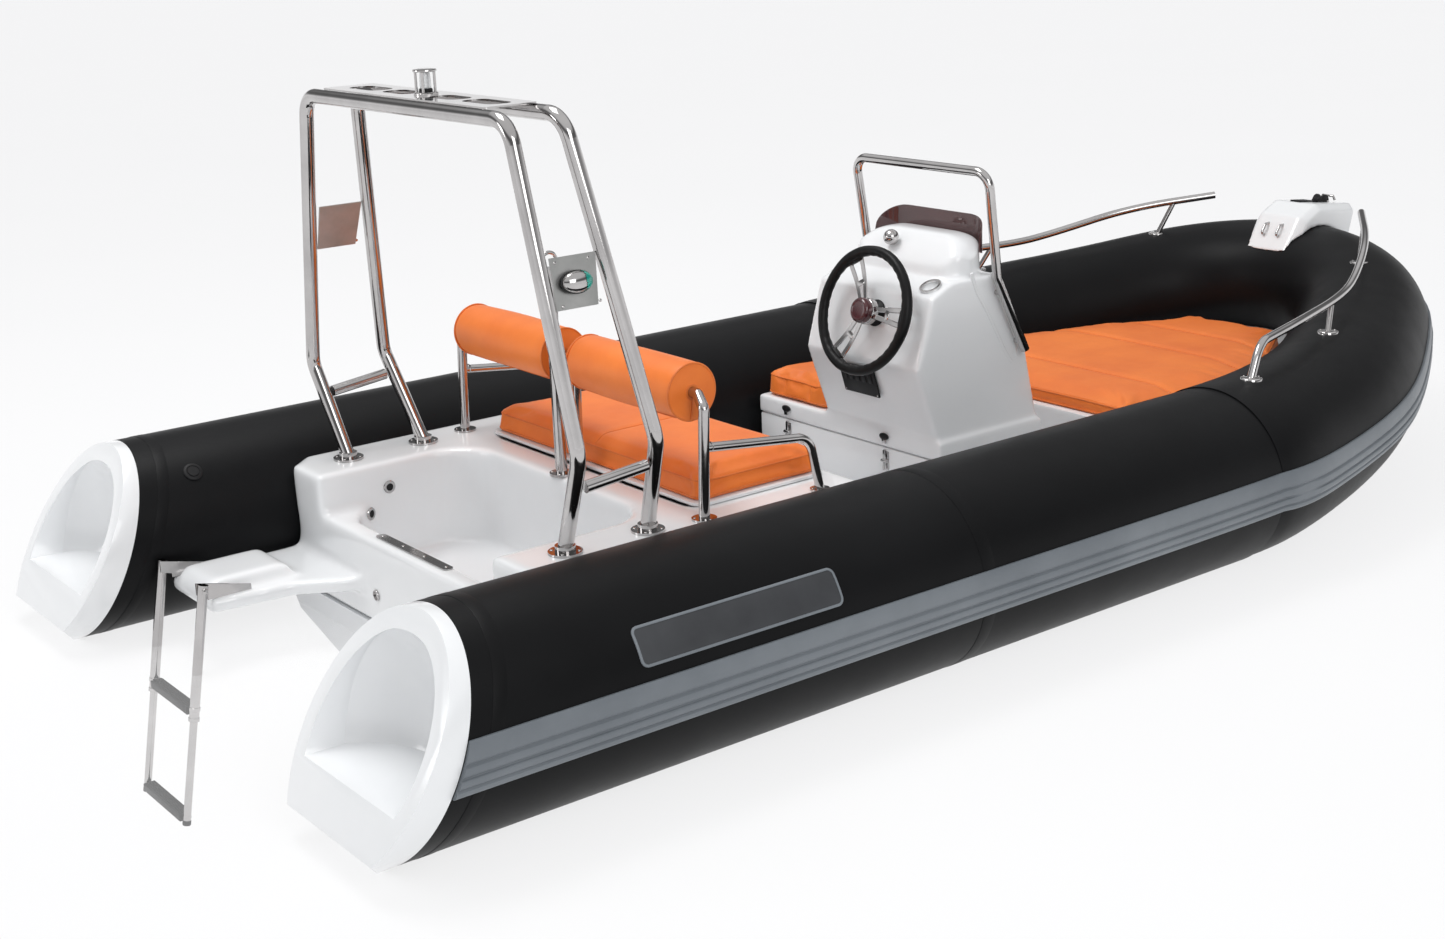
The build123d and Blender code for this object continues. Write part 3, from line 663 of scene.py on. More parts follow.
# seam tapes round the collar and a welt beside each end cap
tapes = Bag()
for side in (1, -1):
    for x, w in ((-1.955, 0.016), (-0.55, 0.020)):
        rows_ = []
        for k in range(73):
            t = 2 * math.pi * k / 72
            rows_.append(t)
        verts, faces = [], []
        for h, dx in ((-0.0008, -w), (0.0006, -w), (0.0008, -w + 0.001), (0.0008, w - 0.001), (0.0006, w), (-0.0008, w)):
            for t in rows_[:-1]:
                z = TUBE_Z + (TUBE_R + h) * math.sin(t)
                xx = x + dx + (0.43 * (z - TUBE_Z) if x < -1.5 else 0.0)
                zc = axis_z(xx) - TUBE_Z
                verts.append((xx, side * (TUBE_Y + (TUBE_R + h) * math.cos(t)), z + zc))
        for j in range(5):
            for k in range(72):
                faces.append((j * 72 + k, j * 72 + (k + 1) % 72, (j + 1) * 72 + (k + 1) % 72, (j + 1) * 72 + k))
        tapes.add(verts, faces)
put("collar_seam_tapes", tapes.mesh("tapes"), "collar_fabric", "root", (), 60)

# ---------------------------------------------------------------- moulded parts with rounded edges
soften("port_end_cap", 0.007, segments=3, angle=28)
soften("starboard_end_cap", 0.007, segments=3, angle=28)
melt("aft_deck_moulding", ("deck_moulding", "seat_base", "swim_platform"), 0.008, 14, 0.62)
soften("locker_base", 0.006, segments=2, angle=40)
melt("helm_console", ("console_moulding",), 0.006, 9, None, pod_dome)
soften("aft_seat_lid", 0.003, segments=2, angle=40)
melt("bow_pedestal", ("anchor_pedestal",), 0.005, 6, None)
soften("bow_deck", 0.006, segments=2, angle=40)
soften("control_panel", 0.002, segments=2, angle=40)

# ---------------------------------------------------------------- padded pieces
SEAMS = {}


def fabric_solid(name, outline, z0, z1, body, node, voxel, cap, top_in, grooves=(), frames=20, pressure=2.6, edge=0.010):
    """A boxed cushion: a smaller start shape, swelled by pressure, kept to its seams, flat beneath."""
    lo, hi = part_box(node)
    cx = sum(p[0] for p in outline) / len(outline)
    cy = sum(p[1] for p in outline) / len(outline)

    def shrink(d):
        pts = []
        m_ = len(outline)
        for i, p in enumerate(outline):
            a, b = outline[i - 1], outline[(i + 1) % m_]
            tx, ty = b[0] - a[0], b[1] - a[1]
            ln = math.hypot(tx, ty) or 1.0
            pts.append((p[0] - ty / ln * d, p[1] + tx / ln * d))
        return pts

    levels = [(0.003 + edge * 0.8, z0), (0.003, z0 + edge * 0.8), (0.003, z1 - top_in - edge), (0.003 + edge * 0.35, z1 - top_in - edge * 0.35), (0.003 + edge, z1 - top_in)]
    bm = bmesh.new()
    loops = []
    for d, z in levels:
        loops.append([bm.verts.new((x, y, z)) for x, y in shrink(d)])
    m_ = len(outline)
    for a, b in zip(loops, loops[1:]):
        for k in range(m_):
            bm.faces.new((a[k], a[(k + 1) % m_], b[(k + 1) % m_], b[k]))
    bm.faces.new(loops[0][::-1])
    bm.faces.new(loops[-1])
    me = bpy.data.meshes.new(name)
    bm.to_mesh(me)
    bm.free()
    o = bpy.data.objects.new(name, me)
    scene.collection.objects.link(o)
    for other in bpy.context.view_layer.objects:
        other.select_set(False)
    bpy.context.view_layer.objects.active = o
    o.select_set(True)
    rm = o.modifiers.new("remesh", "REMESH")
    rm.mode, rm.voxel_size = "VOXEL", voxel
    bpy.ops.object.modifier_apply(modifier="remesh")
    me = o.data
    rest = np.array([v.co for v in me.vertices])
    group = o.vertex_groups.new(name="pin")
    group.add([i for i, p in enumerate(rest) if p[2] < z0 + 0.004], 1.0, "REPLACE")
    cloth = o.modifiers.new("cloth", "CLOTH")
    s = cloth.settings
    s.quality, s.mass = 4, 0.3
    s.tension_stiffness = s.compression_stiffness = 12.0
    s.shear_stiffness, s.bending_stiffness = 5.0, 0.6
    s.use_pressure, s.uniform_pressure_force = True, pressure
    s.effector_weights.gravity = 0.0
    s.vertex_group_mass = "pin"
    cloth.collision_settings.use_collision = False
    cloth.collision_settings.use_self_collision = False
    cloth.point_cache.frame_start, cloth.point_cache.frame_end = 1, frames
    for f in range(1, frames + 1):
        scene.frame_set(f)
    dg = bpy.context.evaluated_depsgraph_get()
    ev = o.evaluated_get(dg)
    swelled = np.array([v.co for v in ev.data.vertices])
    o.modifiers.remove(cloth)
    scene.frame_set(1)
    move = swelled - rest
    length = np.linalg.norm(move, axis=1)
    share = np.where(length > cap, cap / np.maximum(length, 1e-9), 1.0)
    co_ = rest + move * share[:, None]
    # sewn lines pull in
    for (ax, ay), (bx, by), depth, width in grooves:
        d = np.array([bx - ax, by - ay])
        ln = np.linalg.norm(d)
        rel = co_[:, :2] - np.array([ax, ay])
        t = np.clip(rel @ d / ln**2, 0, 1)
        dist = np.linalg.norm(rel - t[:, None] * d, axis=1)
        co_[:, 2] -= depth * np.exp(-((dist / width) ** 2)) * (co_[:, 2] > z1 - top_in - edge)
    co_[:, 0] = np.clip(co_[:, 0], lo.x, hi.x)
    co_[:, 1] = np.clip(co_[:, 1], lo.y, hi.y)
    co_[:, 2] = np.clip(co_[:, 2], z0, hi.z + 0.006)
    me.vertices.foreach_set("co", co_.astype(np.float32).ravel())
    me.update()
    sub = o.modifiers.new("sub", "SUBSURF")
    sub.levels = sub.render_levels = 1
    bpy.ops.object.modifier_apply(modifier="sub")
    me = o.data
    me.materials.append(MAT["upholstery"])
    for p in me.polygons:
        p.use_smooth = True
    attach(o, body)
    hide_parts(node)
    # piping round the top and bottom of the side band
    bvh = BVHTree.FromPolygons([v.co for v in me.vertices], [tuple(p.vertices) for p in me.polygons])
    bag = Bag()
    for z in (z1 - top_in - edge * 0.5, z0 + 0.010):
        pts = []
        for x, y in outline:
            hit = bvh.find_nearest(Vector((cx + (x - cx) * 1.02, cy + (y - cy) * 1.02, z)))
            pts.append(hit[0] if hit[0] else Vector((x, y, z)))
        for _ in range(2):
            pts = [(pts[i - 1] + pts[i] * 2 + pts[(i + 1) % len(pts)]) / 4 for i in range(len(pts))]
        bag.pipe(pts, 0.0026, 8, True)
    for (ax, ay), (bx, by), depth, width in grooves:
        run = []
        for k in range(41):
            t = k / 40
            hit = bvh.ray_cast(Vector((ax + (bx - ax) * t, ay + (by - ay) * t, z1 + 0.2)), Vector((0, 0, -1)))
            if hit[0] and hit[0].z > z1 - top_in - edge * 2:
                run.append(hit[0] + Vector((0, 0, 0.0002)))
        if len(run) > 3:
            bag.pipe(run, 0.0014, 6)
    p = put(name + "_piping", bag.mesh(name + "_piping"), "piping", body, (), 80)
    return o


seat = fabric_solid(
    "aft_seat_pad", rounded_rect(-0.958, -0.542, -0.493, 0.493, 0.038, 8, 0.004), 0.4202, 0.491, "seat_lid",
    "aft_seat_cushion", 0.008, 0.016, 0.010, grooves=[((-0.95, 0.0), (-0.55, 0.0), 0.0025, 0.009)])
fabric_solid(
    "passenger_pad", rounded_rect(0.114, 0.478, 0.264, 0.564, 0.030, 8, 0.003), 0.3168, 0.403, "console",
    "passenger_cushion", 0.007, 0.014, 0.010)
bow_outline = []
corners = [(0.652, 0.498), (0.652, -0.498), (1.15, -0.478), (1.50, -0.378), (1.828, -0.188), (1.828, 0.188), (1.50, 0.378), (1.15, 0.478)]
corners = corners[::1]
for i in range(len(corners)):
    p, a, b = Vector(corners[i]), Vector(corners[i - 1]), Vector(corners[(i + 1) % len(corners)])
    r = 0.045
    pa, pb = p + (a - p).normalized() * r, p + (b - p).normalized() * r
    for k in range(5):
        t = k / 4
        q = pa * (1 - t) ** 2 + p * 2 * t * (1 - t) + pb * t**2
        bow_outline.append((q.x, q.y))
    nxt = b + (p - b).normalized() * r
    steps = max(int((nxt - pb).length / 0.05), 1)
    for k in range(1, steps):
        q = pb.lerp(nxt, k / steps)
        bow_outline.append((q.x, q.y))
bow_outline = [tuple(q) for q in bow_outline]
area = sum(bow_outline[i - 1][0] * bow_outline[i][1] - bow_outline[i][0] * bow_outline[i - 1][1] for i in range(len(bow_outline)))
if area < 0:
    bow_outline = bow_outline[::-1]
fabric_solid(
    "bow_pad", bow_outline, 0.3128, 0.3715, "root", "bow_cushion", 0.012, 0.014, 0.009,
    grooves=[
        ((0.905, 0.476), (0.905, -0.476), 0.006, 0.014), ((1.300, 0.420), (1.300, -0.420), 0.006, 0.014),
        ((1.545, 0.338), (1.545, -0.338), 0.006, 0.014),
    ])

# ---------------------------------------------------------------- backrest rolls
ROLL_X, ROLL_Z, ROLL_R = -0.976, 0.717, 0.0755
for side, label in ((1, "port"), (-1, "starboard")):
    node = label + "_backrest_roll"
    lo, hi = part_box(node)
    y0, y1 = lo.y, hi.y
    slot_end = 1 if side > 0 else -1
    n_ring, n_len = 96, 46
    verts, faces = [], []
    stations = []
    for k in range(n_len + 1):
        t = k / n_len
        stations.append((y0 + 0.004 + (y1 - y0 - 0.008) * t, 1.0))
    prof = []
    for k in range(n_len + 1):
        t = k / n_len
        swell = 0.0022 * math.sin(math.pi * t) - 0.0028 * (math.exp(-((t / 0.02) ** 2)) + math.exp(-(((1 - t) / 0.02) ** 2)))
        prof.append((stations[k][0], ROLL_R - 0.0026 + swell))
    ends0 = [(y0 + 0.0012 + 0.002 * (r / ROLL_R) ** 2, r) for r in (0.016, 0.030, 0.045, 0.058, 0.067)] + [(y0 + 0.0020, 0.0708)]
    ends1 = [(y1 - (p[0] - y0), p[1]) for p in ends0[::-1]]
    line = ends0 + prof + ends1
    rng = np.random.default_rng(7 + side)
    phase = rng.uniform(0, 6.28, 6)
    for y, r in line:
        for k in range(n_ring):
            t = 2 * math.pi * k / n_ring
            # t = 0 points forward, 270 degrees down
            down = math.cos(t + math.pi / 2)
            w = r
            if r > 0.03:
                w += 0.0007 * math.sin(3 * t + phase[0] + y * 9) + 0.0005 * math.sin(5 * t + phase[1] - y * 14)
                w -= 0.0010 * max(0.0, down) ** 8
            verts.append((ROLL_X + w * math.cos(t), y, ROLL_Z + w * math.sin(t)))
    rows_n = len(line)
    for j in range(rows_n - 1):
        for k in range(n_ring):
            faces.append((j * n_ring + k, j * n_ring + (k + 1) % n_ring, (j + 1) * n_ring + (k + 1) % n_ring, (j + 1) * n_ring + k))
    # inner tunnel for the bar
    for k in range(n_ring):
        a, b = k, (k + 1) % n_ring
        faces.append(((rows_n - 1) * n_ring + a, (rows_n - 1) * n_ring + b, b, a))
    o = put(label + "_roll_pad", recalc(from_lists("roll", verts, faces)), "upholstery", "root", (node,), 60)
    bag = Bag()
    for y in (y0 + 0.0035, y1 - 0.0035):
        bag.pipe([(ROLL_X + (ROLL_R - 0.0038) * math.cos(t), y, ROLL_Z + (ROLL_R - 0.0038) * math.sin(t)) for t in [2 * math.pi * k / 96 for k in range(96)]], 0.0028, 8, True)
    # lengthwise closing seam low on the back
    a = math.radians(232)
    bag.pipe([(ROLL_X + (ROLL_R - 0.0012) * math.cos(a), y0 + 0.01 + (y1 - y0 - 0.02) * k / 30, ROLL_Z + (ROLL_R - 0.0012) * math.sin(a)) for k in range(31)], 0.0014, 6)
    put(label + "_roll_piping", bag.mesh("roll_piping"), "piping", "root", (), 80)
    # dark sewn slot in the ends, from the bar down to the edge
    bag = Bag()
    for y, ny in ((y0 + 0.0008, -1), (y1 - 0.0008, 1)):
        pts = [(ROLL_X - 0.0, y, ROLL_Z)] + [(ROLL_X - 0.006 * k / 8, y, ROLL_Z - (0.012 + 0.054 * k / 8)) for k in range(9)]
        bag.pipe(pts[1:], 0.0018, 6)
        bag.turned((ROLL_X, y, ROLL_Z), (0, ny, 0), [(0.020, -0.002), (0.020, 0.0004), (0.0185, 0.0012), (0.0165, 0.0004)], 32)
    put(label + "_roll_slots", bag.mesh("roll_slots"), "piping", "root", (), 60)

# ---------------------------------------------------------------- lights
for side, label, glass in ((1, "port", "red_glass"), (-1, "starboard", "green_glass")):
    node = label + "_light"
    c = Vector((-1.345, side * 0.5925, 1.056))
    nrm = Vector((0, side, 0.24)).normalized()
    fore = Vector((1, 0, 0))
    upv = nrm.cross(fore).normalized()
    if upv.z < 0:
        upv = -upv
    shell, gasket, glassbag = Bag(), Bag(), Bag()
    A, B, H = 0.0405, 0.0255, 0.0215
    n_u, n_v = 40, 14
    for bag, lo_u, grow in ((shell, 0, 0.0), (glassbag, 1, 0.0010)):
        verts, faces = [], []
        for j in range(n_v + 1):
            e = math.pi / 2 * j / n_v
            for k in range(n_u):
                t = 2 * math.pi * k / n_u
                p = (A + grow) * math.cos(e) * math.cos(t), (B + grow) * math.cos(e) * math.sin(t), (H + grow) * math.sin(e) + 0.002
                verts.append(c + fore * p[0] + upv * p[1] + nrm * p[2])
        for j in range(n_v):
            for k in range(n_u):
                quad = (j * n_u + k, j * n_u + (k + 1) % n_u, (j + 1) * n_u + (k + 1) % n_u, (j + 1) * n_u + k)
                mid = sum((verts[i] for i in quad), Vector()) / 4 - c
                forward = mid.dot(fore) / A
                if lo_u and not 0.36 < forward < 0.93:
                    continue
                faces.append(quad)
        bag.add(verts, faces)
    gasket.turned(c, nrm, [(B * 1.02, -0.0003), (B * 1.06, 0.0015), (B * 1.06, 0.003), (B * 1.0, 0.0038)], 40, A / B, fore)
    put(label + "_light_shell", shell.mesh("shell"), "stainless", "root", (node,), 60)
    put(label + "_light_gasket", gasket.mesh("gasket"), "tread_plastic", "root", (), 50)
    gm = glassbag.mesh("glass")
    bm = bmesh.new()
    bm.from_mesh(gm)
    loose = [v for v in bm.verts if not v.link_faces]
    bmesh.ops.delete(bm, geom=loose, context="VERTS")
    bm.to_mesh(gm)
    bm.free()
    put(label + "_light_glass", gm, glass, "root", (), 60)
    bag = Bag()
    for dx, dz in ((-0.056, -0.050), (0.062, -0.050), (-0.058, 0.050), (0.048, 0.050)):
        bag.screw(c + Vector((0.007 + dx * 0.85, 0, 0)) + upv * dz - nrm * (0.0118 - 0.002) * 0 + nrm * (-0.0095 + 0.0), nrm, 0.004, 0.002)
    put(label + "_plate_screws", bag.mesh("plate_screws"), "stainless", "root", (), 50)

lo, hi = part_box("all_round_light")
cx, cy, zb, zt = (lo.x + hi.x) / 2, (lo.y + hi.y) / 2, lo.z, hi.z
bag = Bag()
bag.turned((cx, cy, zb), (0, 0, 1), [(0.030, 0.0), (0.030, 0.004), (0.027, 0.006), (0.016, 0.0065)], 40)
bag.turned((cx, cy, zt), (0, 0, -1), [(0.020, 0.0), (0.0285, 0.0012), (0.0295, 0.003), (0.0295, 0.006), (0.0270, 0.0075), (0.010, 0.008)], 40)
for k in range(4):
    a = math.radians(45 + 90 * k)
    bag.turned((cx + 0.0235 * math.cos(a), cy + 0.0235 * math.sin(a), zb + 0.003), (0, 0, 1), [(0.0034, 0), (0.0034, zt - zb - 0.008)], 12)
put("masthead_cage", bag.mesh("cage"), "stainless", "root", ("all_round_light",), 45)
bag = Bag()
bag.turned((cx, cy, zb + 0.005), (0, 0, 1), [(0.0125, 0), (0.0138, 0.004), (0.0142, 0.015), (0.0138, 0.035), (0.0125, 0.046), (0.008, 0.049)], 32)
put("masthead_lens", bag.mesh("lens"), "clear_lens", "root", (), 60)
bag = Bag()
bag.turned((cx, cy, zb + 0.004), (0, 0, 1), [(0.0165, 0), (0.0165, 0.009), (0.014, 0.011)], 32)
put("masthead_socket", bag.mesh("socket"), "tread_plastic", "root", (), 50)

# ---------------------------------------------------------------- foot flange screws
bag = Bag()
DECK_TOP = 0.4095
for fx, fy in ((-1.392, 0.550), (-1.154, 0.552)):
    for s in (1, -1):
        for k in range(4):
            a = math.radians(45 + 90 * k)
            bag.screw((fx + 0.0335 * math.cos(a), s * fy + 0.0335 * math.sin(a), DECK_TOP + 0.0063), (0, 0, 1), 0.0042, 0.002)
for fx, fy, r, h in ((-1.001, 0.577, 0.0245, 0.0053), (-0.638, 0.590, 0.0195, 0.0053)):
    for s in (1, -1):
        for k in range(3):
            a = math.radians(30 + 120 * k)
            bag.screw((fx + r * math.cos(a), s * fy + r * math.sin(a), DECK_TOP + h), (0, 0, 1), 0.0032, 0.0015)
for k in range(4):
    a = math.radians(45 + 90 * k)
    bag.screw((-1.042 + 0.0255 * math.cos(a), 0.0255 * math.sin(a), DECK_TOP + 0.0063), (0, 0, 1), 0.0035, 0.0016)
put("foot_screws", bag.mesh("foot_screws"), "stainless", "root", (), 50)

# weld beads where tubes meet
bag = Bag()
for s in (1, -1):
    for x, y, z in ((-0.990, 0.577, 0.591),):
        bag.turned((x + 0.0135, s * y, z), (1, 0, -0.12), [(0.0118, -0.001), (0.0134, 0.001), (0.0122, 0.004)], 24)
put("weld_beads", bag.mesh("weld_beads"), "stainless", "root", (), 60)

# ---------------------------------------------------------------- steering wheel dressing
lean = math.atan2(0.0605, 0.2035)
WC = Vector((0.020, -0.030, 0.693))
WN = Vector((-math.cos(lean), 0, math.sin(lean)))
WX = Vector((0, 1, 0))
WY = WN.cross(WX).normalized()
if WY.z < 0:
    WY = -WY


def wheel_point(angle, r, h=0.0):
    return WC + WX * (r * math.cos(angle)) + WY * (r * math.sin(angle)) + WN * h


bag = Bag()
n_u, n_v = 144, 20
verts, faces = [], []
spoke_angles = [math.radians(a) for a in (60, 180, 300)]
for j in range(n_u):
    t = 2 * math.pi * j / n_u
    near = min(abs((t - a + math.pi) % (2 * math.pi) - math.pi) for a in spoke_angles)
    thick = 0.0152 + 0.0016 * math.exp(-((near / 0.34) ** 4))
    for k in range(n_v):
        e = 2 * math.pi * k / n_v
        finger = 0.0007 * math.sin(36 * t) if math.cos(e + math.pi) > 0.3 else 0.0
        r = thick - finger
        verts.append(wheel_point(t, 0.1775 + r * math.cos(e), 0) + WN * (r * math.sin(e)))
for j in range(n_u):
    for k in range(n_v):
        a, b = j * n_v, ((j + 1) % n_u) * n_v
        faces.append((a + k, a + (k + 1) % n_v, b + (k + 1) % n_v, b + k))
put("wheel_grip", recalc(from_lists("wheel_grip", verts, faces)), "wheel_rim", "steering_wheel", ("steering_wheel_rim",), 60)
bag = Bag()
for a in spoke_angles:
    for s in (-1, 1):
        pts = []
        for k in range(13):
            t = k / 12
            r = 0.034 + (0.170 - 0.034) * t
            off = s * (0.010 + 0.014 * t)
            base = wheel_point(a, r, -0.004 - 0.010 * math.sin(math.pi * min(t * 1.15, 1)) * 0.5)
            sidev = (WX * (-math.sin(a)) + WY * math.cos(a))
            pts.append(base + sidev * off)
        ux = (pts[-1] - pts[0]).normalized()
        uy = (WX * (-math.sin(a)) + WY * math.cos(a))
        uy = (uy - ux * uy.dot(ux)).normalized()
        vv, ff = [], []
        for k, p in enumerate(pts):
            w, h = 0.0078, 0.0024
            for du, dn in ((-w, -h * 0.4), (-w * 0.8, -h), (w * 0.8, -h), (w, -h * 0.4), (w, h * 0.4), (w * 0.8, h), (-w * 0.8, h), (-w, h * 0.4)):
                vv.append(p + uy * du + WN * dn)
        for k in range(len(pts) - 1):
            for q in range(8):
                ff.append((k * 8 + q, k * 8 + (q + 1) % 8, (k + 1) * 8 + (q + 1) % 8, (k + 1) * 8 + q))
        ff.append(tuple(range(8))[::-1])
        ff.append(tuple(range((len(pts) - 1) * 8, len(pts) * 8)))
        bag.add(vv, ff)
    bag.slab(wheel_point(a, 0.090, -0.008), WX * math.cos(a) + WY * math.sin(a), WX * (-math.sin(a)) + WY * math.cos(a), WN, 0.018, 0.030, 0.0032, 0.001)
bag.turned(WC, WN, [(0.036, -0.022), (0.040, -0.020), (0.040, -0.006), (0.038, -0.002), (0.036, -0.0005), (0.020, -0.0005)], 48)
put("wheel_spoke_set", bag.mesh("wheel_spokes"), "stainless", "steering_wheel", ("steering_wheel_spokes",), 35)
bag = Bag()
bag.turned(WC, WN, [(0.0375, 0.0016), (0.0380, 0.006), (0.0374, 0.016), (0.0350, 0.0225), (0.0300, 0.0262), (0.0280, 0.0268), (0.0270, 0.0262), (0.019, 0.0252), (0.004, 0.0248)], 64)
put("wheel_hub_cap", bag.mesh("hub"), "hub_plastic", "steering_wheel", ("steering_hub_cap",), 60)
bag = Bag()
for a in spoke_angles:
    mid = wheel_point(a, 0.1655, -0.002)
    bag.slab(mid, WX * math.cos(a) + WY * math.sin(a), WX * (-math.sin(a)) + WY * math.cos(a), WN, 0.022, 0.052, 0.020, 0.006)
put("wheel_rim_blocks", bag.mesh("rim_blocks"), "wheel_rim", "steering_wheel", (), 50)
bag = Bag()
bag.turned(WC, WN, [(0.040, -0.0492), (0.040, -0.047), (0.0375, -0.044), (0.028, -0.040), (0.024, -0.036), (0.022, -0.0285), (0.010, -0.0282)], 48)
put("helm_cover", bag.mesh("helm"), "tread_plastic", "console", ("helm_bezel",), 45)

# ---------------------------------------------------------------- console dressing
screws = Bag()
for y in (-0.20, -0.10, 0.0, 0.10, 0.20):
    screws.screw((0.3530, y * 0.7, 0.862), (1, 0, 0), 0.0040, 0.002)
put("screen_screws", screws.mesh("screen_screws"), "stainless", "console", (), 50)
visor = []
for k in range(25):
    a = math.radians(68 * (1 - k / 24))
    visor.append((0.269, 0.150, a))
sheet_rows = [(cx, cy, a) for cx, cy, a in visor]
path = [(cx + math.cos(a) * 0.082, cy + math.sin(a) * 0.082, math.cos(a), math.sin(a)) for cx, cy, a in sheet_rows]
path += [(0.351, 0.150 - 0.300 * k / 30, 1.0, 0.0) for k in range(1, 30)]
path += [(x, -y, nx, -ny) for x, y, nx, ny in path[:25][::-1]]
dist = [0.0]
for a, b in zip(path, path[1:]):
    dist.append(dist[-1] + math.dist(a[:2], b[:2]))
verts, faces = [], []
rows_up = 12
for sgn in (1, -1):
    for (x, y, nx, ny), d in zip(path, dist):
        t = max(0.0, 1 - min(d, dist[-1] - d) / 0.120)
        cut = 1 - math.sqrt(max(0.0, 1 - t * t))
        top, low = 0.9495 - 0.078 * cut, 0.838 + 0.018 * cut
        for k in range(rows_up + 1):
            f = k / rows_up
            lean = 0.0
            verts.append((x + sgn * nx * 0.002 + lean, y + sgn * ny * 0.002, low + (top - low) * f))
cols, per = len(path), rows_up + 1
half = cols * per
for i in range(cols - 1):
    for k in range(rows_up):
        a, b = i * per + k, (i + 1) * per + k
        faces.append((a, a + 1, b + 1, b))
        faces.append((half + a, half + b, half + b + 1, half + a + 1))
    for k in (0, rows_up):
        a, b = i * per + k, (i + 1) * per + k
        faces.append((a, b, half + b, half + a))
for i in (0, cols - 1):
    for k in range(rows_up):
        a = i * per + k
        faces.append((a, a + 1, half + a + 1, half + a))
put("visor_screen", recalc(from_lists("visor", verts, faces)), "smoked_screen", "console", ("windscreen",), 50)

# moulded ridges on both console sides that back the grab rail
ridge = Bag()
for s in (1, -1):
    for run in (
        [(0.246, 0.800), (0.262, 0.744), (0.300, 0.690), (0.352, 0.600), (0.386, 0.540), (0.414, 0.505)],
        [(0.330, 0.790), (0.345, 0.735), (0.372, 0.672), (0.405, 0.600), (0.425, 0.556), (0.432, 0.520)],
    ):
        pts = []
        for i in range(len(run) - 1):
            for k in range(6):
                t = k / 6
                pts.append((run[i][0] + (run[i + 1][0] - run[i][0]) * t, s * 0.2478, run[i][1] + (run[i + 1][1] - run[i][1]) * t))
        pts.append((run[-1][0], s * 0.2478, run[-1][1]))
        for _ in range(4):
            pts = [pts[0]] + [tuple((pts[i - 1][q] + 2 * pts[i][q] + pts[i + 1][q]) / 4 for q in range(3)) for i in range(1, len(pts) - 1)] + [pts[-1]]
        v, f = pipe(pts, 0.0068, 14)
        v = [Vector((p.x, s * 0.2478 + (p.y - s * 0.2478) * 0.62, p.z)) for p in map(Vector, v)]
        ridge.add(v, f)
put("console_side_ridges", ridge.mesh("ridges"), "gelcoat_white", "console", (), 70)

# switch panel face
panel = Bag()
PN = Vector((-0.957, 0, -0.2895)).normalized()
PU = Vector((0, 1, 0))
PV = PN.cross(PU).normalized()
if PV.z < 0:
    PV = -PV
pc = Vector((0.0476, 0.022, 0.473)) + PN * 0.0072
for i in range(5):
    at = pc + PU * (-0.056 + 0.028 * i) + PV * 0.012
    panel.slab(at, PU, PV, PN, 0.016, 0.030, 0.006, 0.0015)
put("panel_rockers", panel.mesh("rockers"), "tread_plastic", "console", (), 40)
panel = Bag()
for u, v in ((-0.070, -0.042), (0.070, -0.042), (-0.070, 0.042), (0.070, 0.042)):
    panel.screw(pc + PU * u + PV * v - PN * 0.0002, PN, 0.0032, 0.0014)
put("panel_screws", panel.mesh("panel_screws"), "stainless", "console", (), 50)

# toggle latches: keeper on the lid lip, draw hook and lever on the locker
SEAM = 0.2555
upper, upper_black, lower = Bag(), Bag(), Bag()
for y in (-0.027, 0.437):
    upper.turned((0.1002, y, SEAM + 0.036), (-1, 0, 0), [(0.0095, 0.0), (0.0098, 0.0016), (0.0085, 0.0030)], 28, 1.9, (0, 1, 0))
    upper_black.turned((0.0974, y, SEAM + 0.037), (-1, 0, 0), [(0.0105, 0.0), (0.0110, 0.0032), (0.0088, 0.0055), (0.004, 0.0062)], 28, 1.8, (0, 1, 0))
    upper.slab((0.0952, y, SEAM + 0.022), (1, 0, 0), (0, 1, 0), (0, 0, 1), 0.006, 0.016, 0.012, 0.0015)
    lower.slab((0.1027, y, SEAM - 0.040), (1, 0, 0), (0, 1, 0), (0, 0, 1), 0.0026, 0.026, 0.060, 0.001)
    lower.slab((0.0985, y, SEAM - 0.030), (1, 0, 0), (0, 1, 0), (0, 0, 1), 0.0060, 0.010, 0.050, 0.002)
    lower.turned((0.0965, y - 0.0125, SEAM - 0.040), (0, 1, 0), [(0.0050, 0.0), (0.0056, 0.002), (0.0056, 0.023), (0.0050, 0.025)], 20)
    lower.pipe([(0.0950, y, SEAM - 0.044), (0.0935, y, SEAM - 0.056), (0.0945, y, SEAM - 0.0685)], 0.0036, 10)
    for dz in (-0.016, -0.064):
        for dy in (-0.009, 0.009):
            lower.screw((0.1014, y + dy, SEAM + dz), (-1, 0, 0), 0.0022, 0.001)
put("lid_keepers", upper.mesh("keepers"), "stainless", "console", ("console_latches",), 45)
put("lid_keeper_caps", upper_black.mesh("keeper_caps"), "tread_plastic", "console", (), 45)
put("locker_draw_latches", lower.mesh("draw_latches"), "stainless", "root", ("locker_latches",), 45)

# ---------------------------------------------------------------- ladder treads and collars
LEAN = math.radians(10.8)
LD = Vector((-math.sin(LEAN), 0, -math.cos(LEAN)))
PIVOT = Vector((-1.942, 0, 0.219))
for node, s_at, body, half, leg_r in (
    ("ladder_upper_tread", 0.324, "ladder_upper", 0.1205, 0.013),
    ("ladder_lower_tread", 0.616, "ladder_lower", 0.1235, 0.010),
):
    c = PIVOT + LD * s_at
    bag = Bag()
    bag.slab((c.x, 0.458, c.z), (1, 0, 0), (0, 1, 0), (0, 0, 1), 0.0335, 2 * half, 0.0225, 0.003)
    for k in range(5):
        bag.slab((c.x - 0.0128 + 0.0064 * k, 0.458, c.z + 0.0115), (1, 0, 0), (0, 1, 0), (0, 0, 1), 0.0028, 2 * half - 0.012, 0.0026, 0.0008)
    put(node + "_ribbed", bag.mesh("tread"), "tread_plastic", body, (node,), 40)
bag = Bag()
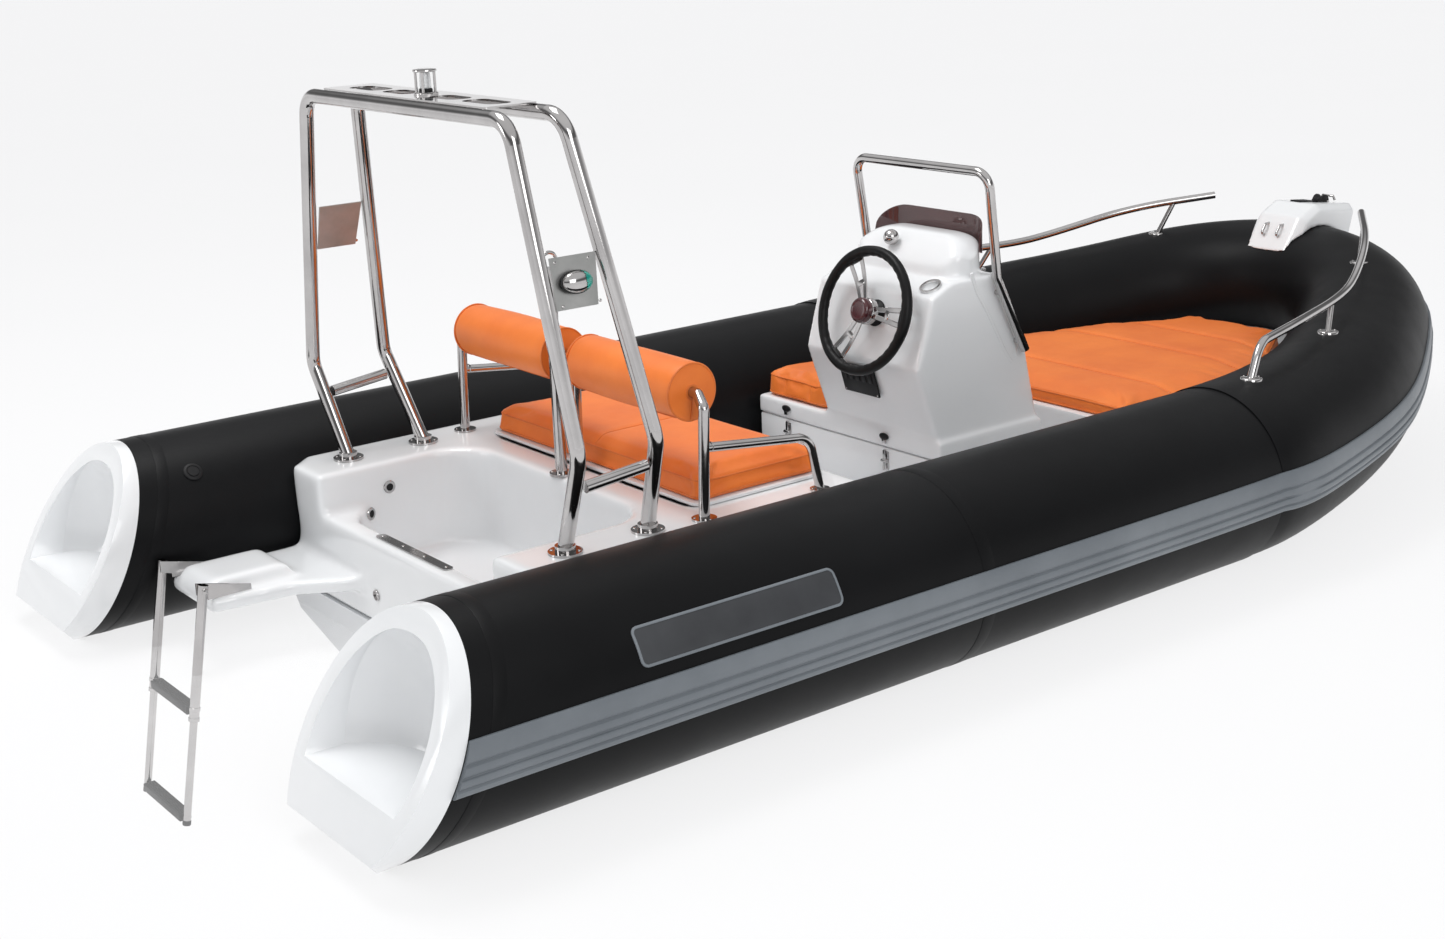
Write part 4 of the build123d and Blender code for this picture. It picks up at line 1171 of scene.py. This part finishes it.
for y in (0.324, 0.592):
    for s_ in (0.318, 0.346):
        c = PIVOT + LD * s_
        bag.turned((c.x, y, c.z), LD, [(0.0132, -0.006), (0.0146, -0.005), (0.0146, 0.004), (0.0132, 0.005)], 24)
    bag.turned((PIVOT.x, y - 0.0150, PIVOT.z), (0, 1, 0), [(0.0060, 0.0), (0.0075, 0.0012), (0.0075, 0.003)], 20)
put("ladder_ferrules", bag.mesh("ferrules"), "stainless", "ladder_upper", (), 45)
bag = Bag()
for y in (0.324, 0.592):
    c = PIVOT + LD * 0.634
    bag.turned((c.x, y, c.z), LD, [(0.0104, -0.012), (0.0112, -0.010), (0.0112, 0.0), (0.0095, 0.0018)], 20)
put("ladder_feet", bag.mesh("feet"), "tread_plastic", "ladder_lower", (), 45)

# ---------------------------------------------------------------- transom and well fittings
DRAINS = (((-1.329, 0.4440, 0.3375), (0, -1, 0)), ((-1.3999, 0.4290, 0.2780), (0.446, -0.895, 0)))
bag = Bag()
bag.turned((-1.5402, 0.156, 0.148), (-1, 0, 0), [(0.0150, -0.001), (0.0156, 0.001), (0.0150, 0.0026), (0.0122, 0.0028), (0.0120, -0.004)], 36)
put("drain_flange", bag.mesh("drain_flange"), "stainless", "root", (), 45)
bag = Bag()
for at, nrm in DRAINS:
    bag.turned(at, nrm, [(0.0178, -0.0005), (0.0182, 0.002), (0.0165, 0.0042), (0.0105, 0.0040), (0.0100, 0.0010)], 36)
put("well_drain_rings", bag.mesh("drain_rings"), "stainless", "root", ("well_drains",), 45)
# painted shade: a flat dark disc inside each drain ring stands in for the shade down in the drain hole
bag = Bag()
for at, nrm in DRAINS:
    bag.turned(at, nrm, [(0.0104, -0.0005), (0.0104, 0.0014)], 28)
put("well_drain_hole_shade_discs", bag.mesh("drain_hole_shade_discs"), "drain_hole_shade", "root", (), 45)
bag = Bag()
lo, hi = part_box("transom_plate")
for k in range(4):
    bag.screw(((lo.x + hi.x) / 2, -0.165 + 0.11 * k, hi.z), (0, 0, 1), 0.0042, 0.0018)
put("transom_plate_screws", bag.mesh("plate_screws2"), "stainless", "root", (), 50)
bag = Bag()
for s in (1, -1):
    out = Vector((0, -s * 0.702, 0.712))
    c = Vector((-1.792, s * TUBE_Y, TUBE_Z)) + out * (TUBE_R + 0.0002)
    bag.turned(c, out, [(0.026, 0.0), (0.0262, 0.0022), (0.0235, 0.0042), (0.0185, 0.0046), (0.0175, 0.0030), (0.0160, 0.0030), (0.0150, 0.0058), (0.004, 0.0062)], 40)
put("valve_caps", bag.mesh("valves"), "tread_plastic", "root", ("valves",), 35)

# anchor roller with a groove
bag = Bag()
bag.turned((2.262, -0.0208, 0.742), (0, 1, 0), [(0.021, 0.0), (0.0238, 0.002), (0.0238, 0.008), (0.0175, 0.0165), (0.016, 0.0208), (0.0175, 0.0251), (0.0238, 0.0336), (0.0238, 0.0396), (0.021, 0.0416)], 40)
put("roller_grooved", bag.mesh("roller"), "tread_plastic", "roller", ("anchor_roller",), 40)
bag = Bag()
bag.pipe([(2.262, -0.034, 0.742), (2.262, 0.034, 0.742)], 0.0055, 16)
bag.pipe([(2.306, -0.030, 0.742), (2.306, -0.022, 0.756), (2.306, 0.022, 0.756), (2.306, 0.030, 0.742)], 0.0045, 12)
put("roller_pin", bag.mesh("roller_pin"), "stainless", "root", (), 45)

# black pad in the roller fairlead
bag = Bag()
bag.slab((2.152, 0, 0.7552), (1, 0, -0.1), (0, 1, 0), (0.1, 0, 1), 0.076, 0.046, 0.006, 0.002)
put("fairlead_pad", bag.mesh("fairlead_pad"), "tread_plastic", "root", (), 40)

# bow rails bent in one sweep, with their struts and feet
RAIL = [(0.734, 0.878, 0.500), (0.790, 0.862, 0.600), (0.868, 0.846, 0.6045), (1.060, 0.806, 0.615), (1.400, 0.700, 0.618),
        (1.560, 0.640, 0.646), (1.810, 0.506, 0.719), (2.057, 0.312, 0.757)]
FEET = [((0.734, 0.879, 0.5055), None), ((1.271, 0.751, 0.534), (1.322, 0.727, 0.616)), ((1.885, 0.432, 0.622), (1.945, 0.400, 0.738))]
for s, label in ((1, "port"), (-1, "starboard")):
    run = [Vector((x, s * y, z)) for x, y, z in RAIL]
    for _ in range(4):
        cut = [run[0]]
        for a, b in zip(run, run[1:]):
            cut += [a.lerp(b, 0.25), a.lerp(b, 0.75)]
        run = cut + [run[-1]]
    bag = Bag()
    bag.pipe(run, 0.0128, 18)
    for (x, y, z), top in FEET:
        bag.turned((x, s * y, z), (0, 0, 1), [(0.0315, -0.010), (0.0315, 0.003), (0.029, 0.0055), (0.012, 0.006)], 32)
        if top:
            near = min(run, key=lambda q: (q - Vector((top[0], s * top[1], top[2]))).length)
            bag.pipe([(x, s * y, z), near], 0.0088, 14)
    put(label + "_bow_rail_bent", bag.mesh("bow_rail"), "stainless", "root", (label + "_bow_rail",), 45)

# screws on the rail feet
bag = Bag()
for s in (1, -1):
    for x, y, z in ((0.734, 0.879, 0.5122), (1.271, 0.751, 0.5402), (1.885, 0.432, 0.6282)):
        for k in range(3):
            a = math.radians(20 + 120 * k)
            bag.screw((x + 0.0235 * math.cos(a), s * y + s * 0.0235 * math.sin(a), z - 0.0006), (0, 0, 1), 0.0034, 0.0016)
put("rail_foot_screws", bag.mesh("rail_screws"), "stainless", "root", (), 50)

# ---------------------------------------------------------------- floor at the waterline
S = 160.0
floor_mesh = from_lists("floor", [(-S, -S, 0), (S, -S, 0), (S, S, 0), (-S, S, 0)], [(0, 1, 2, 3)])
floor = bpy.data.objects.new("floor", floor_mesh)
scene.collection.objects.link(floor)
m, nt, b, co = new_material("floor_pale")
nt.links.new(ramp(nt, noise(nt, co, 0.6, 4.0), (0.82, 0.825, 0.83), (0.86, 0.862, 0.865)), b.inputs["Base Color"])
b.inputs["Roughness"].default_value = 0.75
b.inputs["Specular IOR Level"].default_value = 0.2
b.inputs["Alpha"].default_value = 0.20
floor_mesh.materials.append(m)
floor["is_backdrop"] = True

# ---------------------------------------------------------------- light and camera
world = bpy.data.worlds.new("studio")
scene.world = world
world.use_nodes = True
wt = world.node_tree
for n_ in list(wt.nodes):
    wt.nodes.remove(n_)
wout = wt.nodes.new("ShaderNodeOutputWorld")
bg = wt.nodes.new("ShaderNodeBackground")
tc = wt.nodes.new("ShaderNodeTexCoord")
sep = wt.nodes.new("ShaderNodeSeparateXYZ")
wt.links.new(tc.outputs["Generated"], sep.inputs[0])
cr = wt.nodes.new("ShaderNodeValToRGB")
els = cr.color_ramp.elements
els[0].position, els[0].color = 0.0, (1.0, 1.0, 1.0, 1)
els[1].position, els[1].color = 1.0, (0.80, 0.80, 0.80, 1)
for pos, val in ((0.50, 1.0), (0.56, 0.90), (0.63, 0.20), (0.71, 0.14), (0.80, 0.75)):
    e = els.new(pos)
    e.color = (val, val, val * 1.01, 1)
mr = wt.nodes.new("ShaderNodeMapRange")
mr.inputs["From Min"].default_value, mr.inputs["From Max"].default_value = -1.0, 1.0
wt.links.new(sep.outputs["Z"], mr.inputs["Value"])
wt.links.new(mr.outputs["Result"], cr.inputs["Fac"])
wt.links.new(cr.outputs["Color"], bg.inputs["Color"])
bg.inputs["Strength"].default_value = 1.0
wt.links.new(bg.outputs[0], wout.inputs["Surface"])


def area(name, at, look, size, power, size_y=None):
    d = bpy.data.lights.new(name, "AREA")
    d.energy, d.size = power, size
    d.shape = "RECTANGLE"
    d.size_y = size_y or size
    o = bpy.data.objects.new(name, d)
    scene.collection.objects.link(o)
    o.location = at
    o.rotation_mode = "QUATERNION"
    o.rotation_quaternion = (Vector(at) - Vector(look)).to_track_quat("Z", "Y")


area("key", (-1.5, 1.5, 6.0), (0.0, 0.0, 0.3), 3.0, 165, 2.0)
area("fill_starboard", (-2.0, -5.5, 3.5), (0.0, 0.0, 0.4), 3.0, 100)
area("stern", (-6.5, 2.5, 2.6), (-1.8, 0.0, 0.2), 1.6, 36)

cam_data = bpy.data.cameras.new("camera")
cam_data.lens, cam_data.sensor_width, cam_data.sensor_fit = 47.87, 36.0, "HORIZONTAL"
cam_data.clip_start, cam_data.clip_end = 0.05, 600.0
cam = bpy.data.objects.new("camera", cam_data)
scene.collection.objects.link(cam)
right = Vector((0.7897283, -0.6124535, -0.0350692))
down = Vector((-0.2022781, -0.2060057, -0.9574159))
ahead = Vector((0.5791483, 0.7631922, -0.2865745))
cam.matrix_world = Matrix((
    (right.x, -down.x, -ahead.x, -3.68100),
    (right.y, -down.y, -ahead.y, -4.18965),
    (right.z, -down.z, -ahead.z, 1.88137),
    (0, 0, 0, 1),
))
scene.camera = cam
scene.view_settings.view_transform = "Standard"

low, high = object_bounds()
